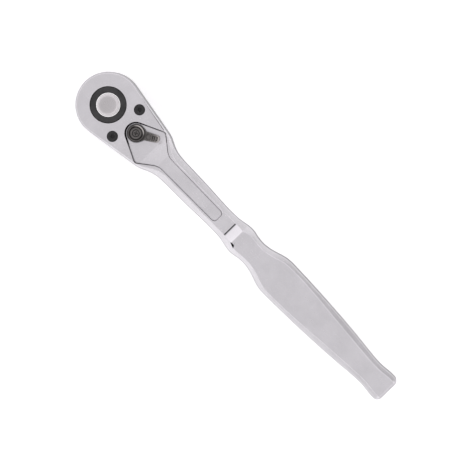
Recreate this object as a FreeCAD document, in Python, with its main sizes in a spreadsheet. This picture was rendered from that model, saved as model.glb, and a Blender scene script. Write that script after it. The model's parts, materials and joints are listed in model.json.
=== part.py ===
import FreeCAD, Part
import math
import os
import re
import Sketcher

# Reversible half-inch drive ratchet wrench with a tear-drop head, in millimetres.
# The origin is on the drive axis, on the shoulder that a socket meets. +X runs along the
# handle, +Z points to the reversing lever and the square drive points to -Z.
# The reversing lever is at rest 30 degrees towards +Y, so the pawl's -Y end is in mesh.

SIZES = {
    # how far a cutting tool runs past the face that it opens
    "past": 1.0,
    # head
    "head_radius": 19.05, "head_low": 0.8, "head_top": 17.2, "head_taper": 9.3, "join_x": 35.0,
    "edge_chamfer": 0.8,
    # cover plate and its recess in the drive side
    "plate_thick": 3.0, "plate_margin": 2.4, "plate_end_x": 31.0, "plate_corner": 5.0, "plate_gap": 0.05,
    # gear chamber, gear and square
    "chamber_top": 11.6, "chamber_radius": 13.4, "gear_low": 4.0, "gear_top": 11.4,
    "gear_radius": 13.0, "tooth_depth": 0.65, "teeth": 72, "mesh_gap": 0.06,
    "top_journal_radius": 10.65, "low_journal_radius": 9.5, "running_gap": 0.05, "ring_top": 17.0,
    "square_side": 12.7, "square_length": 15.0, "square_corner": 1.3, "tip_chamfer": 1.0,
    # quick release
    "button_bore_radius": 7.1, "button_bore_low": 9.4, "spring_bore_radius": 5.2, "spring_bore_low": 4.5,
    "stem_bore_radius": 3.8, "stem_bore_low": -12.3, "button_radius": 7.0, "button_low": 12.0,
    "button_step": 15.25, "button_top_radius": 6.3, "button_top": 17.45, "button_edge": 0.45,
    "dish_radius": 13.0, "dish_depth": 0.75, "button_travel": 2.5, "stem_radius": 2.1,
    "stem_foot_radius": 3.694, "stem_foot_low": -9.7, "stem_seat": 2.0, "snap_ring_inner": 6.45,
    "snap_ring_outer": 7.5, "snap_ring_low": 15.35, "snap_ring_high": 16.05, "snap_groove_radius": 7.6,
    "snap_groove_gap": 0.05, "snap_ring_sweep": 338.0,
    "ball_radius": 2.0, "ball_out": 5.35, "ball_low": -7.4, "ball_travel": 1.05, "ball_gap": 0.03,
    "ball_hole_radius": 2.05, "ball_lip_radius": 1.77, "ball_lip": 0.25,
    "release_wire": 0.8, "release_coil": 4.6, "release_turns": 5.0, "wire_sides": 12,
    # cover screws
    "screw_x": 14.7, "screw_y": 10.95, "screw_radius": 2.0, "screw_hole_radius": 2.1,
    "screw_head_radius": 3.1, "screw_bore_radius": 3.2, "screw_seat": 14.4, "screw_head_top": 17.0,
    "screw_end": 1.0, "screw_rim": 0.35, "hex_across": 2.6, "hex_depth": 1.6,
    # reversing lever, its shaft and its screw
    "lever_x": 22.9, "lever_angle": 30.0, "lever_low": 14.15, "lever_top": 18.0, "hub_radius": 5.0,
    "hub_edge": 0.5, "hub_groove_inner": 3.0, "hub_groove_outer": 3.7, "hub_groove_depth": 0.35,
    "arm_low": 15.0, "arm_top": 17.7, "arm_root": 2.9, "arm_tip": 1.75, "arm_reach": 12.65,
    "ridge_width": 0.8, "ridge_pitch": 1.2, "ridge_height": 0.35, "ridge_start": 5.8, "lever_seat": 16.6,
    "lever_bore_radius": 2.2, "tenon_side": 2.9, "tenon_gap": 0.05, "tenon_top": 16.5,
    "shaft_radius": 3.0, "shaft_low": 3.9, "shaft_top": 14.0, "shaft_journal_radius": 2.0,
    "shaft_journal_low": 2.4, "shaft_room": 0.5, "lever_screw_radius": 1.0,
    "lever_screw_head_radius": 2.0, "lever_screw_top": 17.75, "lever_screw_end": 12.4,
    "cross_width": 0.55, "cross_length": 2.5, "cross_depth": 0.75,
    # pawl and plunger
    "pivot_x": 17.2, "pawl_tilt": 7.0, "pawl_low": 4.1, "pawl_top": 11.3, "pawl_inner": 13.3,
    "pawl_outer": 15.9, "pawl_reach": 25.0, "pawl_back_x": 18.6, "pawl_back_y": 3.0, "horn_x": 20.1,
    "horn_y": 2.35, "notch_x": 21.3, "notch_radius": 2.27, "trunnion_radius": 1.9,
    "trunnion_low": 2.4, "trunnion_top": 12.8, "trunnion_end_gap": 0.1, "rocker_room_x": 15.6,
    "rocker_room_y": 7.6, "rocker_back_x": 20.6, "rocker_back_y": 3.3, "rocker_front_x": 9.0,
    "rocker_front_y": 8.0,
    "plunger_radius": 1.0, "plunger_centre": 2.8, "plunger_tail": 0.6, "plunger_low": 7.7,
    "plunger_bore_radius": 1.05, "plunger_bore_end": 2.2, "plunger_wire": 0.4, "plunger_coil": 0.78,
    "plunger_turns": 4.0,
    # rubber rings
    "gear_ring_radius": 10.05, "gear_ring_wire": 0.5, "gear_ring_groove": 10.6, "gear_ring_low": 1.8,
    "gear_ring_high": 3.0, "lever_ring_radius": 3.55, "lever_ring_wire": 0.5, "lever_ring_room": 4.1,
    "lever_ring_floor": 12.9,
    # lever pocket and neck panel
    "pocket_radius": 6.2, "pocket_slope": 26.0, "pocket_floor": 14.0, "pocket_corner_x": 34.6,
    "pocket_corner": 2.5, "pocket_ramp_x": 36.9, "panel_x": 45.5, "panel_half": 4.2, "panel_end_x": 91.3,
    "panel_end_half": 3.8, "panel_corner": 2.3, "panel_bend": 9.0, "panel_depth": 0.7,
    "land_start_top": 16.4, "land_end_top": 14.6, "land_start_x": 46.6, "land_end_x": 99.9,
    "low_panel_x": 54.0,
    # end of the handle
    "tail_round": 3.3, "tail_edge": 1.2,
}

# Cross-sections of the neck and handle, each (x, half width, half width of the flat land,
# half height, depth of the bevel under the land).
NECK = [
    (38.0, 12.9, 11.6, 8.05, 1.3), (40.8, 11.75, 9.9, 7.85, 2.1), (43.7, 10.4, 8.0, 7.6, 2.8),
    (46.6, 9.4, 6.5, 7.4, 3.2), (50.5, 8.75, 5.3, 7.27, 3.5), (57.0, 8.5, 4.95, 7.05, 3.6),
    (78.0, 8.05, 4.8, 6.35, 3.4), (94.0, 7.6, 4.7, 5.8, 3.1), (99.9, 7.9, 4.6, 5.6, 3.0),
]
STEP = [(100.9, 8.05, 4.55, 5.0, 2.4), (105.7, 9.0, 4.6, 7.6, 4.2)]
HANDLE = [
    (110.0, 9.3, 5.9, 7.6, 4.4), (114.0, 8.55, 5.9, 7.6, 4.4), (119.0, 8.0, 5.5, 7.6, 4.4),
    (125.0, 8.75, 5.9, 7.6, 4.5), (130.5, 10.4, 7.3, 7.6, 4.7), (135.5, 11.8, 9.0, 7.6, 4.8),
    (142.0, 12.1, 9.6, 7.6, 4.8), (155.0, 11.8, 9.4, 7.6, 4.8), (176.0, 10.9, 7.9, 7.6, 4.7),
    (200.0, 9.2, 6.0, 7.6, 4.6), (213.0, 8.05, 5.2, 7.6, 4.4), (219.5, 8.1, 5.3, 7.6, 4.4),
    (224.5, 8.65, 5.9, 7.6, 4.4), (227.6, 8.7, 6.0, 7.6, 4.4),
]
TAIL_ANGLES = (25.0, 50.0, 70.0, 85.0)
STATION_FIELDS = ("x", "half", "land", "rise", "bevel")
SCREW_SIDES = (("left", "screw_y"), ("right", "-screw_y"))
RIDGES = 3
TOUCH = 0.01  # two places nearer than this are the same place

Vector = FreeCAD.Vector
DOC = FreeCAD.newDocument("ratchet_wrench")
SHEET = DOC.addObject("Spreadsheet::Sheet", "Sizes")
PARTS = []


def fill_sheet():
    """Put every driving dimension in the sheet, each cell under its own alias."""
    for group, stations in (("neck", NECK), ("ramp", STEP), ("grip", HANDLE)):
        for number, station in enumerate(stations):
            for field, size in zip(STATION_FIELDS, station):
                SIZES[f"{group}_{number}_{field}"] = size
    for row, (alias, size) in enumerate(SIZES.items(), start=1):
        SHEET.set(f"A{row}", alias)
        SHEET.set(f"B{row}", str(size))
        SHEET.setAlias(f"B{row}", alias)
    DOC.recompute()


def sized(text):
    """Turn the aliases in an expression into references to the sheet."""
    return re.sub(r"[a-z][a-z0-9_]*", lambda word: ("Sizes." if word[0] in SIZES else "") + word[0], text)


def value(text):
    """The number that an expression of the sheet's aliases gives."""
    return float(SHEET.evalExpression(sized(text)))


def bind(thing, prop, text):
    thing.setExpression(prop, sized(text))


def move(thing, x="0", y="0", z="0"):
    for axis, text in zip("xyz", (x, y, z)):
        bind(thing, "Placement.Base." + axis, text)


def finish(thing, label):
    """Name a finished sub-part and keep it for export."""
    thing.Label = label
    PARTS.append(thing)
    return thing


# --- small builders -------------------------------------------------------------------


def cylinder(name, radius, low, high, x="0", y="0"):
    solid = DOC.addObject("Part::Cylinder", name)
    bind(solid, "Radius", radius)
    bind(solid, "Height", f"({high}) - ({low})")
    move(solid, x, y, low)
    return solid


def box(name, length, width, low, high):
    """A box centred on the Z axis."""
    solid = DOC.addObject("Part::Box", name)
    bind(solid, "Length", length)
    bind(solid, "Width", width)
    bind(solid, "Height", f"({high}) - ({low})")
    move(solid, f"-({length}) / 2", f"-({width}) / 2", low)
    return solid


def fuse(name, solids):
    joined = DOC.addObject("Part::MultiFuse", name)
    joined.Shapes = solids
    joined.Refine = True
    return joined


def cut(name, base, tools):
    result = DOC.addObject("Part::Cut", name)
    result.Base = base
    result.Tool = tools[0] if len(tools) == 1 else fuse(name + "_tools", tools)
    result.Refine = True
    return result


def common(name, first, second):
    result = DOC.addObject("Part::Common", name)
    result.Base = first
    result.Tool = second
    return result


def draw(sketch, corners):
    """Draw a closed outline whose corner coordinates are expressions bound to the sheet."""
    spots = [Vector(value(across), value(along), 0) for across, along in corners]
    for number, spot in enumerate(spots):
        sketch.addGeometry(Part.LineSegment(spot, spots[(number + 1) % len(spots)]))
    for number, corner in enumerate(corners):
        following = (number + 1) % len(corners)
        sketch.addConstraint(Sketcher.Constraint("Coincident", number, 2, following, 1))
        for axis, text in zip("XY", corner):
            index = sketch.addConstraint(
                Sketcher.Constraint("Distance" + axis, -1, 1, number, 1, value(text)))
            sketch.renameConstraint(index, f"{axis}{number}")
            bind(sketch, f"Constraints.{axis}{number}", text)


def prism(name, corners, low, high):
    """A straight prism along Z over an outline in XY."""
    sketch = DOC.addObject("Sketcher::SketchObject", name + "_outline")
    draw(sketch, corners)
    move(sketch, z=low)
    solid = DOC.addObject("Part::Extrusion", name)
    solid.Base = sketch
    solid.DirMode = "Normal"
    solid.Solid = True
    bind(solid, "LengthFwd", f"({high}) - ({low})")
    return solid


def mirrored(corners):
    """Complete an outline that is symmetric about the X axis from its +Y half."""
    return corners + [(along, f"-({across})") for along, across in reversed(corners)]


def soften(kind, name, base, wanted):
    """Fillet or chamfer the edges for which wanted(edge) gives a size."""
    DOC.recompute()
    chosen = [(number, wanted(edge)) for number, edge in enumerate(base.Shape.Edges, start=1)]
    result = DOC.addObject(kind, name)
    result.Base = base
    result.Edges = [(number, size, size) for number, size in chosen if size]
    return result


def upright_at(edge, x, y):
    """Whether an edge is vertical and stands at x, plus or minus y."""
    ends = [vertex.Point for vertex in edge.Vertexes]
    if len(ends) != 2 or edge.BoundBox.ZLength < TOUCH:
        return False
    return all(math.hypot(end.x - x, abs(end.y) - y) < TOUCH for end in ends)


def turned(name, corners, sweep="360"):
    """A PartDesign body that is an outline in XZ turned about the Z axis."""
    body = DOC.addObject("PartDesign::Body", name)
    sketch = body.newObject("Sketcher::SketchObject", name + "_profile")
    plane = next(item for item in body.Origin.OriginFeatures if item.Role == "XZ_Plane")
    sketch.AttachmentSupport = [(plane, "")]
    sketch.MapMode = "FlatFace"
    draw(sketch, corners)
    feature = body.newObject("PartDesign::Revolution", name + "_turned")
    feature.Profile = sketch
    feature.ReferenceAxis = (sketch, ["V_Axis"])
    bind(feature, "Angle", sweep)
    return body


def spring(name, coil, wire, low, high, turns):
    """A coil spring along Z: a wire with small flats all round, swept along a helix."""
    helix = DOC.addObject("Part::Helix", name + "_helix")
    bind(helix, "Radius", coil)
    bind(helix, "Height", f"({high}) - ({low}) - ({wire})")
    bind(helix, "Pitch", f"(({high}) - ({low}) - ({wire})) / ({turns})")
    move(helix, z=f"({low}) + ({wire}) / 2")
    ring = DOC.addObject("Part::RegularPolygon", name + "_wire")
    bind(ring, "Polygon", "wire_sides")
    bind(ring, "Circumradius", f"({wire}) / 2")
    ring.Placement = FreeCAD.Placement(Vector(), FreeCAD.Rotation(Vector(1, 0, 0), 90))
    move(ring, coil, "0", f"({low}) + ({wire}) / 2")
    coiled = DOC.addObject("Part::Sweep", name)
    coiled.Sections = [ring]
    DOC.recompute()
    coiled.Spine = (helix, [f"Edge{n + 1}" for n in range(len(helix.Shape.Edges))])
    coiled.Solid = True
    coiled.Frenet = True
    return coiled


# --- body -----------------------------------------------------------------------------


def tapered(name, radius, end_x, low, high):
    """The head's plan: a disc and the two straight sides tangent to it, up to end_x."""
    disc = cylinder(name + "_disc", radius, low, high)
    side = f"({radius}) / cos(head_taper * 1deg) - ({end_x}) * tan(head_taper * 1deg)"
    start = (f"({radius}) * sin(head_taper * 1deg)", f"({radius}) * cos(head_taper * 1deg)")
    wedge = prism(name + "_wedge", mirrored([start, (end_x, side)]), low, high)
    return fuse(name, [disc, wedge])


def station(group, number):
    """The five sizes of one cross-section, read from the sheet."""
    return [value(f"{group}_{number}_{field}") for field in STATION_FIELDS]


def octagon(x, half, land, rise, bevel):
    """Corners of one cross-section: a flat land on top and bottom, bevels and upright sides."""
    middle = value("(head_low + head_top) / 2")
    right = [(land, rise), (half, rise - bevel), (half, bevel - rise), (land, -rise)]
    left = [(-across, up) for across, up in reversed(right)]
    return [Vector(x, across, middle + up) for across, up in right + left]


def rail(spots):
    """The curve that runs along the tool through matching corners of its cross-sections."""
    if len(spots) == 2:
        return Part.LineSegment(*spots).toShape()
    curve = Part.BSplineCurve()
    curve.interpolate(spots)
    return curve.toShape()


def shank_span(name, stations):
    """A solid through cross-sections: straight across between rails that run along it."""
    rows = [octagon(*sizes) for sizes in stations]
    rails = [rail([row[corner] for row in rows]) for corner in range(len(rows[0]))]
    sides = [Part.makeRuledSurface(first, second) for first, second in zip(rails, rails[1:] + rails[:1])]
    ends = [Part.Face(Part.makePolygon(row + row[:1])) for row in (rows[0], rows[-1])]
    shell = Part.Shell(sides + ends)
    shell.sewShape()
    solid = Part.Solid(shell)
    if solid.Volume < 0:
        solid.reverse()
    span = DOC.addObject("Part::Feature", name)
    span.Shape = solid
    return span


def head():
    """The tear-drop head, with its top and bottom edges chamfered."""
    blank = tapered("head", "head_radius", "join_x", "head_low", "head_top")

    def rim(edge):
        level = edge.BoundBox.ZLength < TOUCH
        joint = all(abs(spot.X - value("join_x")) < TOUCH for spot in edge.Vertexes)
        return value("edge_chamfer") if level and not joint else 0

    return soften("Part::Chamfer", "head_chamfered", blank, rim)


def shank():
    """Neck, groove, step, grip and rounded end, each a span through its cross-sections."""
    lean = math.cos(math.radians(value("head_taper")))
    wall = value("head_radius / cos(head_taper * 1deg) - join_x * tan(head_taper * 1deg)")
    chamfer = value("edge_chamfer")
    root = [value("join_x"), wall, wall - chamfer / lean, value("(head_top - head_low) / 2"), chamfer]
    neck = [root] + [station("neck", number) for number in range(len(NECK))]
    groove, foot = (station("ramp", number) for number in range(len(STEP)))
    grip = [foot] + [station("grip", number) for number in range(len(HANDLE))]
    x, half, land, rise, bevel = grip[-1]
    tail = [grip[-1]]
    for angle in TAIL_ANGLES:
        turn = math.radians(angle)
        fall = 1 - math.cos(turn)
        tail.append([x + value("tail_round") * math.sin(turn), half - value("tail_round") * fall,
                     land - value("tail_edge") * fall, rise - value("tail_edge") * fall, bevel])
    return [shank_span("neck", neck), shank_span("groove", [neck[-1], groove]),
            shank_span("step", [groove, foot]), shank_span("grip", grip), shank_span("tail", tail)]


def pocket():
    """The lever's pocket, its ramp and the long panel in the neck, as one solid to cut away."""
    tangent = ("lever_x - pocket_radius * sin(pocket_slope * 1deg)",
               "pocket_radius * cos(pocket_slope * 1deg)")
    corner_y = ("pocket_radius / cos(pocket_slope * 1deg)"
                " + (pocket_corner_x - lever_x) * tan(pocket_slope * 1deg)")
    outline = mirrored([tangent, ("pocket_corner_x", corner_y), ("panel_x", "panel_half"),
                        ("panel_end_x", "panel_end_half")])
    plan = prism("pocket_plan", outline, "chamber_top + past", "head_top + 3 * past")

    def corner(edge):
        if upright_at(edge, value("pocket_corner_x"), value(corner_y)):
            return value("pocket_corner")
        if upright_at(edge, value("panel_x"), value("panel_half")):
            return value("panel_bend")
        if upright_at(edge, value("panel_end_x"), value("panel_end_half")):
            return value("panel_corner")
        return 0

    rounded = soften("Part::Fillet", "pocket_rounded", plan, corner)
    hub = cylinder("pocket_hub", "pocket_radius", "chamber_top + past", "head_top + 3 * past", "lever_x")
    return common("pocket", fuse("pocket_area", [rounded, hub]), floor_profile("pocket_room", 1))


def floor_profile(name, side):
    """A solid above the pocket's floor, its ramp and the panel; side -1 gives the drive side."""
    fall = "(land_start_top - land_end_top) / (land_end_x - land_start_x)"
    start, end = "lever_x - 2 * pocket_radius", "panel_end_x + 5 * past"
    depth = f"land_start_top - panel_depth + {fall} * land_start_x"
    ends = [(start, "pocket_floor"), ("pocket_ramp_x", "pocket_floor"),
            ("panel_x", f"{depth} - {fall} * panel_x"), (end, f"{depth} - {fall} * ({end})"),
            (end, "head_top + 4 * past"), (start, "head_top + 4 * past")]
    if side < 0:
        ends = [(along, f"head_low + head_top - ({up})") for along, up in ends]
    sketch = DOC.addObject("Sketcher::SketchObject", name + "_profile")
    draw(sketch, ends)
    sketch.Placement = FreeCAD.Placement(Vector(), FreeCAD.Rotation(Vector(1, 0, 0), 90))
    solid = DOC.addObject("Part::Extrusion", name)
    solid.Base = sketch
    solid.DirMode = "Normal"
    solid.Solid = True
    solid.Symmetric = True
    bind(solid, "LengthFwd", "4 * head_radius")
    return solid


def low_panel():
    """The matching panel on the drive side of the neck."""
    outline = mirrored([("low_panel_x", "panel_half"), ("panel_end_x", "panel_end_half")])
    plan = prism("low_panel_plan", outline, "head_low - 3 * past", "(head_low + head_top) / 2")

    def corner(edge):
        at_start = upright_at(edge, value("low_panel_x"), value("panel_half"))
        at_end = upright_at(edge, value("panel_end_x"), value("panel_end_half"))
        return value("panel_corner") if at_start or at_end else 0

    rounded = soften("Part::Fillet", "low_panel_rounded", plan, corner)
    return common("low_panel", rounded, floor_profile("low_panel_room", -1))


def plate_outline(name, gap, low, high):
    """The cover plate's tear-drop, with rounded corners at its handle end."""
    radius = f"(head_radius - plate_margin - {gap})"
    end_x = f"(plate_end_x - {gap})"
    blank = tapered(name + "_blank", radius, end_x, low, high)
    side = value(f"{radius} / cos(head_taper * 1deg) - {end_x} * tan(head_taper * 1deg)")
    return soften("Part::Fillet", name, blank,
                  lambda edge: value("plate_corner") if upright_at(edge, value(end_x), side) else 0)


def wrench_body():
    """One forging: head, neck and handle, bored for the mechanism."""
    forging = fuse("forging", [head()] + shank())
    plate_top = "head_low + plate_thick"
    under, over = plate_top + " - past", "head_top + past"
    rocker = mirrored([("rocker_front_x", "rocker_front_y"), ("rocker_room_x", "rocker_room_y"),
                       ("rocker_back_x", "rocker_back_y")])
    tools = [
        pocket(),
        low_panel(),
        plate_outline("plate_recess", "0", "head_low - 2 * past", plate_top),
        cylinder("gear_chamber", "chamber_radius", under, "chamber_top"),
        prism("pawl_chamber", rocker, under, "chamber_top"),
        cylinder("shaft_chamber", "shaft_radius + shaft_room", under, "chamber_top", "lever_x"),
        cylinder("top_bearing", "top_journal_radius + running_gap", "chamber_top - past", over),
        cylinder("shaft_bearing", "shaft_radius + running_gap", "chamber_top - past",
                 "pocket_floor + past", "lever_x"),
        cylinder("shaft_ring_room", "lever_ring_room", "lever_ring_floor", "pocket_floor + past",
                 "lever_x"),
        cylinder("pawl_bearing", "trunnion_radius + running_gap", "chamber_top - past",
                 "trunnion_top + trunnion_end_gap", "pivot_x"),
    ]
    for mark, side in SCREW_SIDES:
        tools.append(cylinder(f"screw_hole_{mark}", "screw_hole_radius", under,
                              "screw_seat + past", "screw_x", side))
        tools.append(cylinder(f"screw_bore_{mark}", "screw_bore_radius", "screw_seat", over,
                              "screw_x", side))
    return finish(cut("body_bored", forging, tools), "wrench_body")


# --- cover plate and its screws ---------------------------------------------------------


def cover_plate():
    """Closes the chamber on the drive side; carries the lower bearings and the threads."""
    plate_top = "head_low + plate_thick"
    under, over = "head_low - past", plate_top + " + past"
    blank = plate_outline("plate", "plate_gap", "head_low", plate_top)
    tools = [
        cylinder("low_bearing", "low_journal_radius + running_gap", under, over),
        cylinder("gear_ring_room", "gear_ring_groove", "gear_ring_low", "gear_ring_high"),
        cylinder("shaft_foot_hole", "shaft_journal_radius + running_gap",
                 "shaft_journal_low - trunnion_end_gap", over, "lever_x"),
        cylinder("pawl_foot_hole", "trunnion_radius + running_gap", "trunnion_low - trunnion_end_gap",
                 over, "pivot_x"),
    ]
    for mark, side in SCREW_SIDES:
        tools.append(cylinder(f"plate_thread_{mark}", "screw_radius", under, over, "screw_x", side))
    return finish(cut("plate_bored", blank, tools), "cover_plate")


def hexagon(name, across, low, high):
    """A hexagonal prism about the Z axis, across flats."""
    solid = DOC.addObject("Part::Prism", name)
    solid.Polygon = 6
    bind(solid, "Circumradius", f"({across}) / 2 / cos(30deg)")
    bind(solid, "Height", f"({high}) - ({low})")
    move(solid, z=low)
    return solid


def cover_screws():
    """Two socket screws with low heads, from the lever side into the plate."""
    screws = []
    head_top = "screw_head_top"
    for mark, side in SCREW_SIDES:
        solid = turned(f"screw_{mark}", [
            ("0", "screw_end"), ("screw_radius - screw_rim", "screw_end"),
            ("screw_radius", "screw_end + screw_rim"), ("screw_radius", "screw_seat"),
            ("screw_head_radius", "screw_seat"), ("screw_head_radius", f"{head_top} - screw_rim"),
            ("screw_head_radius - screw_rim", head_top), ("0", head_top)])
        socket = hexagon(f"socket_{mark}", "hex_across", f"{head_top} - hex_depth", f"{head_top} + past")
        screw = cut(f"screw_cut_{mark}", solid, [socket])
        move(screw, "screw_x", side)
        screws.append(screw)
    pair = DOC.addObject("Part::Compound", "screw_pair")
    pair.Links = screws
    return finish(pair, "cover_screws")


# --- drive gear and quick release -------------------------------------------------------


def toothed_disc(name, grow, low, high):
    """A disc with pointed ratchet teeth, a tip on +X, its flanks moved out by grow."""
    count = int(value("teeth"))
    outer = value("gear_radius") + grow
    inner = outer - value("tooth_depth")
    step = math.pi / count
    spots = [Vector(radius * math.cos(turn), radius * math.sin(turn), value(low))
             for number in range(2 * count)
             for radius, turn in [(inner if number % 2 else outer, number * step)]]
    face = Part.Face(Part.makePolygon(spots + spots[:1]))
    disc = DOC.addObject("Part::Feature", name)
    disc.Shape = face.extrude(Vector(0, 0, value(high) - value(low)))
    return disc


def square_tang():
    """The half-inch square, its long edges rounded and its tip chamfered."""
    block = box("square_block", "square_side", "square_side", "-square_length", "gear_low")
    half = value("square_side / 2")
    rounded = soften("Part::Fillet", "square_rounded", block,
                     lambda edge: value("square_corner") if upright_at(edge, half, half) else 0)

    def at_tip(edge):
        return value("tip_chamfer") if edge.BoundBox.ZMax < value("-square_length") + TOUCH else 0

    return soften("Part::Chamfer", "square_tipped", rounded, at_tip)


def ball_hole():
    """The cross hole for the detent ball, with the lip that keeps it in."""
    face = "square_side / 2"
    bore = cylinder("ball_bore", "ball_hole_radius", "0", f"{face} - ball_lip")
    lip = DOC.addObject("Part::Cone", "ball_lip_cone")
    bind(lip, "Radius1", "ball_hole_radius")
    bind(lip, "Radius2", "ball_lip_radius")
    bind(lip, "Height", "ball_lip")
    mouth = cylinder("ball_mouth", "ball_lip_radius", "0", "past")
    for item, start in ((bore, "0"), (lip, f"{face} - ball_lip"), (mouth, face)):
        item.Placement = FreeCAD.Placement(Vector(), FreeCAD.Rotation(Vector(1, 0, 0), -90))
        move(item, "0", start, "ball_low")
    return [bore, lip, mouth]


def drive_gear():
    """Toothed wheel, its two journals and the square, bored for the quick release."""
    edge = "edge_chamfer / 2"
    hub = turned("gear_hub", [
        ("0", "0"), (f"low_journal_radius - {edge}", "0"), ("low_journal_radius", edge),
        ("low_journal_radius", "gear_top"), ("top_journal_radius", "gear_top"),
        ("top_journal_radius", f"ring_top - {edge}"), (f"top_journal_radius - {edge}", "ring_top"),
        ("0", "ring_top")])
    teeth = toothed_disc("gear_teeth", 0, "gear_low", "gear_top")
    solid = fuse("gear_solid", [teeth, hub, square_tang()])
    groove = cylinder("snap_groove", "snap_groove_radius", "snap_ring_low - snap_groove_gap",
                      "snap_ring_high + snap_groove_gap")
    tools = [
        cylinder("button_bore", "button_bore_radius", "button_bore_low", "ring_top + past"),
        groove,
        cylinder("spring_bore", "spring_bore_radius", "spring_bore_low", "button_bore_low + past"),
        cylinder("stem_bore", "stem_bore_radius", "stem_bore_low", "spring_bore_low + past"),
    ]
    return finish(cut("gear_bored", solid, tools + ball_hole()), "drive_gear")


def release_button():
    """Push button: a flange under the snap ring and a dished top."""
    button = turned("button", [
        ("stem_radius", "button_low"), ("button_radius", "button_low"), ("button_radius", "button_step"),
        ("button_top_radius", "button_step"), ("button_top_radius", "button_top - button_edge"),
        ("button_top_radius - button_edge", "button_top"), ("0", "button_top"),
        ("0", "button_low + stem_seat"), ("stem_radius", "button_low + stem_seat")])
    dish = DOC.addObject("Part::Sphere", "dish")
    bind(dish, "Radius", "dish_radius")
    move(dish, z="button_top - dish_depth + dish_radius")
    return finish(cut("button_dished", button, [dish]), "release_button")


def release_stem():
    """Rod under the button; its cone moves the ball out as the button rises."""
    slope = "(ball_travel / button_travel)"
    lean = f"sqrt(1 + {slope} ^ 2)"
    reach = "(ball_radius + ball_gap)"
    touch = f"(ball_out - {reach} / {lean})"
    touch_z = f"(ball_low - {reach} * {slope} / {lean})"
    stem = turned("stem", [
        ("0", "stem_foot_low"), ("stem_foot_radius", "stem_foot_low"),
        ("stem_foot_radius", f"{touch_z} - (stem_foot_radius - {touch}) / {slope}"),
        ("stem_radius", f"{touch_z} + ({touch} - stem_radius) / {slope}"),
        ("stem_radius", "button_low + stem_seat"), ("0", "button_low + stem_seat")])
    return finish(stem, "release_stem")


def snap_ring():
    """Open ring in the gear's groove that keeps the button in."""
    ring = turned("snap_ring_body", [
        ("snap_ring_inner", "snap_ring_low"), ("snap_ring_outer", "snap_ring_low"),
        ("snap_ring_outer", "snap_ring_high"), ("snap_ring_inner", "snap_ring_high")], "snap_ring_sweep")
    return finish(ring, "button_snap_ring")


def detent_ball():
    ball = DOC.addObject("Part::Sphere", "ball")
    bind(ball, "Radius", "ball_radius")
    move(ball, "0", "ball_out", "ball_low")
    return finish(ball, "detent_ball")


def release_spring():
    return finish(spring("button_spring", "release_coil", "release_wire", "spring_bore_low", "button_low",
                         "release_turns"), "release_spring")


# --- pawl and reverser ------------------------------------------------------------------


def pawl_blank():
    """Plan of the pawl in its middle position: a crescent with a notch behind its pivot."""
    reach = value("pawl_reach")
    spots = {}
    for side in (1, -1):
        turn = math.radians(side * reach)
        for key in ("pawl_inner", "pawl_outer"):
            spots[key, side] = Vector(value(key) * math.cos(turn), value(key) * math.sin(turn), 0)
        spots["back", side] = Vector(value("pawl_back_x"), side * value("pawl_back_y"), 0)
        spots["horn", side] = Vector(value("horn_x"), side * value("horn_y"), 0)
        notch_y = math.sqrt(value("notch_radius") ** 2 - value("notch_x - horn_x") ** 2)
        spots["notch", side] = Vector(value("horn_x"), side * notch_y, 0)
    front = Part.Arc(spots["pawl_inner", -1], Vector(value("pawl_inner"), 0, 0), spots["pawl_inner", 1])
    notch = Part.Arc(spots["notch", 1], Vector(value("notch_x - notch_radius"), 0, 0), spots["notch", -1])
    order = ("pawl_inner", "pawl_outer", "back", "horn", "notch")
    upper = [Part.LineSegment(spots[a, 1], spots[b, 1]) for a, b in zip(order, order[1:])]
    lower = [Part.LineSegment(spots[b, -1], spots[a, -1]) for a, b in reversed(list(zip(order, order[1:])))]
    outline = [front] + upper + [notch] + lower
    return Part.Face(Part.Wire([curve.toShape() for curve in outline]))


def pawl():
    """Rocking pawl; each toothed end is the space that the gear leaves when that end is in."""
    low = value("pawl_low")
    pivot = Vector(value("pivot_x"), 0, 0)
    shape = pawl_blank().extrude(Vector(0, 0, value("pawl_top") - low))
    shape.translate(Vector(0, 0, low))
    cutter = toothed_disc("pawl_cutter", value("mesh_gap"), "pawl_low - past", "pawl_top + past")
    for side in (1, -1):
        gear = cutter.Shape.copy()
        gear.rotate(pivot, Vector(0, 0, 1), side * value("pawl_tilt"))
        shape = shape.cut(gear)
    DOC.removeObject(cutter.Name)
    trunnion = Part.makeCylinder(value("trunnion_radius"), value("trunnion_top - trunnion_low"),
                                 Vector(value("pivot_x"), 0, value("trunnion_low")))
    shape = shape.fuse(trunnion).removeSplitter()
    shape.rotate(pivot, Vector(0, 0, 1), -value("pawl_tilt"))
    rocker = DOC.addObject("Part::Feature", "pawl_solid")
    rocker.Shape = shape
    return finish(rocker, "pawl")


def lever_turned(thing):
    """Put a piece that was made on the origin on the lever's axis, at the lever's rest angle."""
    thing.Placement = FreeCAD.Placement(Vector(), FreeCAD.Rotation(Vector(0, 0, 1), value("lever_angle")))
    move(thing, "lever_x")
    return thing


def along_plunger(thing, start):
    """Lay a piece made along +Z along the lever's -X direction, from start on that line."""
    thing.Placement = FreeCAD.Placement(Vector(), FreeCAD.Rotation(Vector(0, 1, 0), -90))
    move(thing, f"-({start})", "0", "plunger_low")
    return thing


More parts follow.
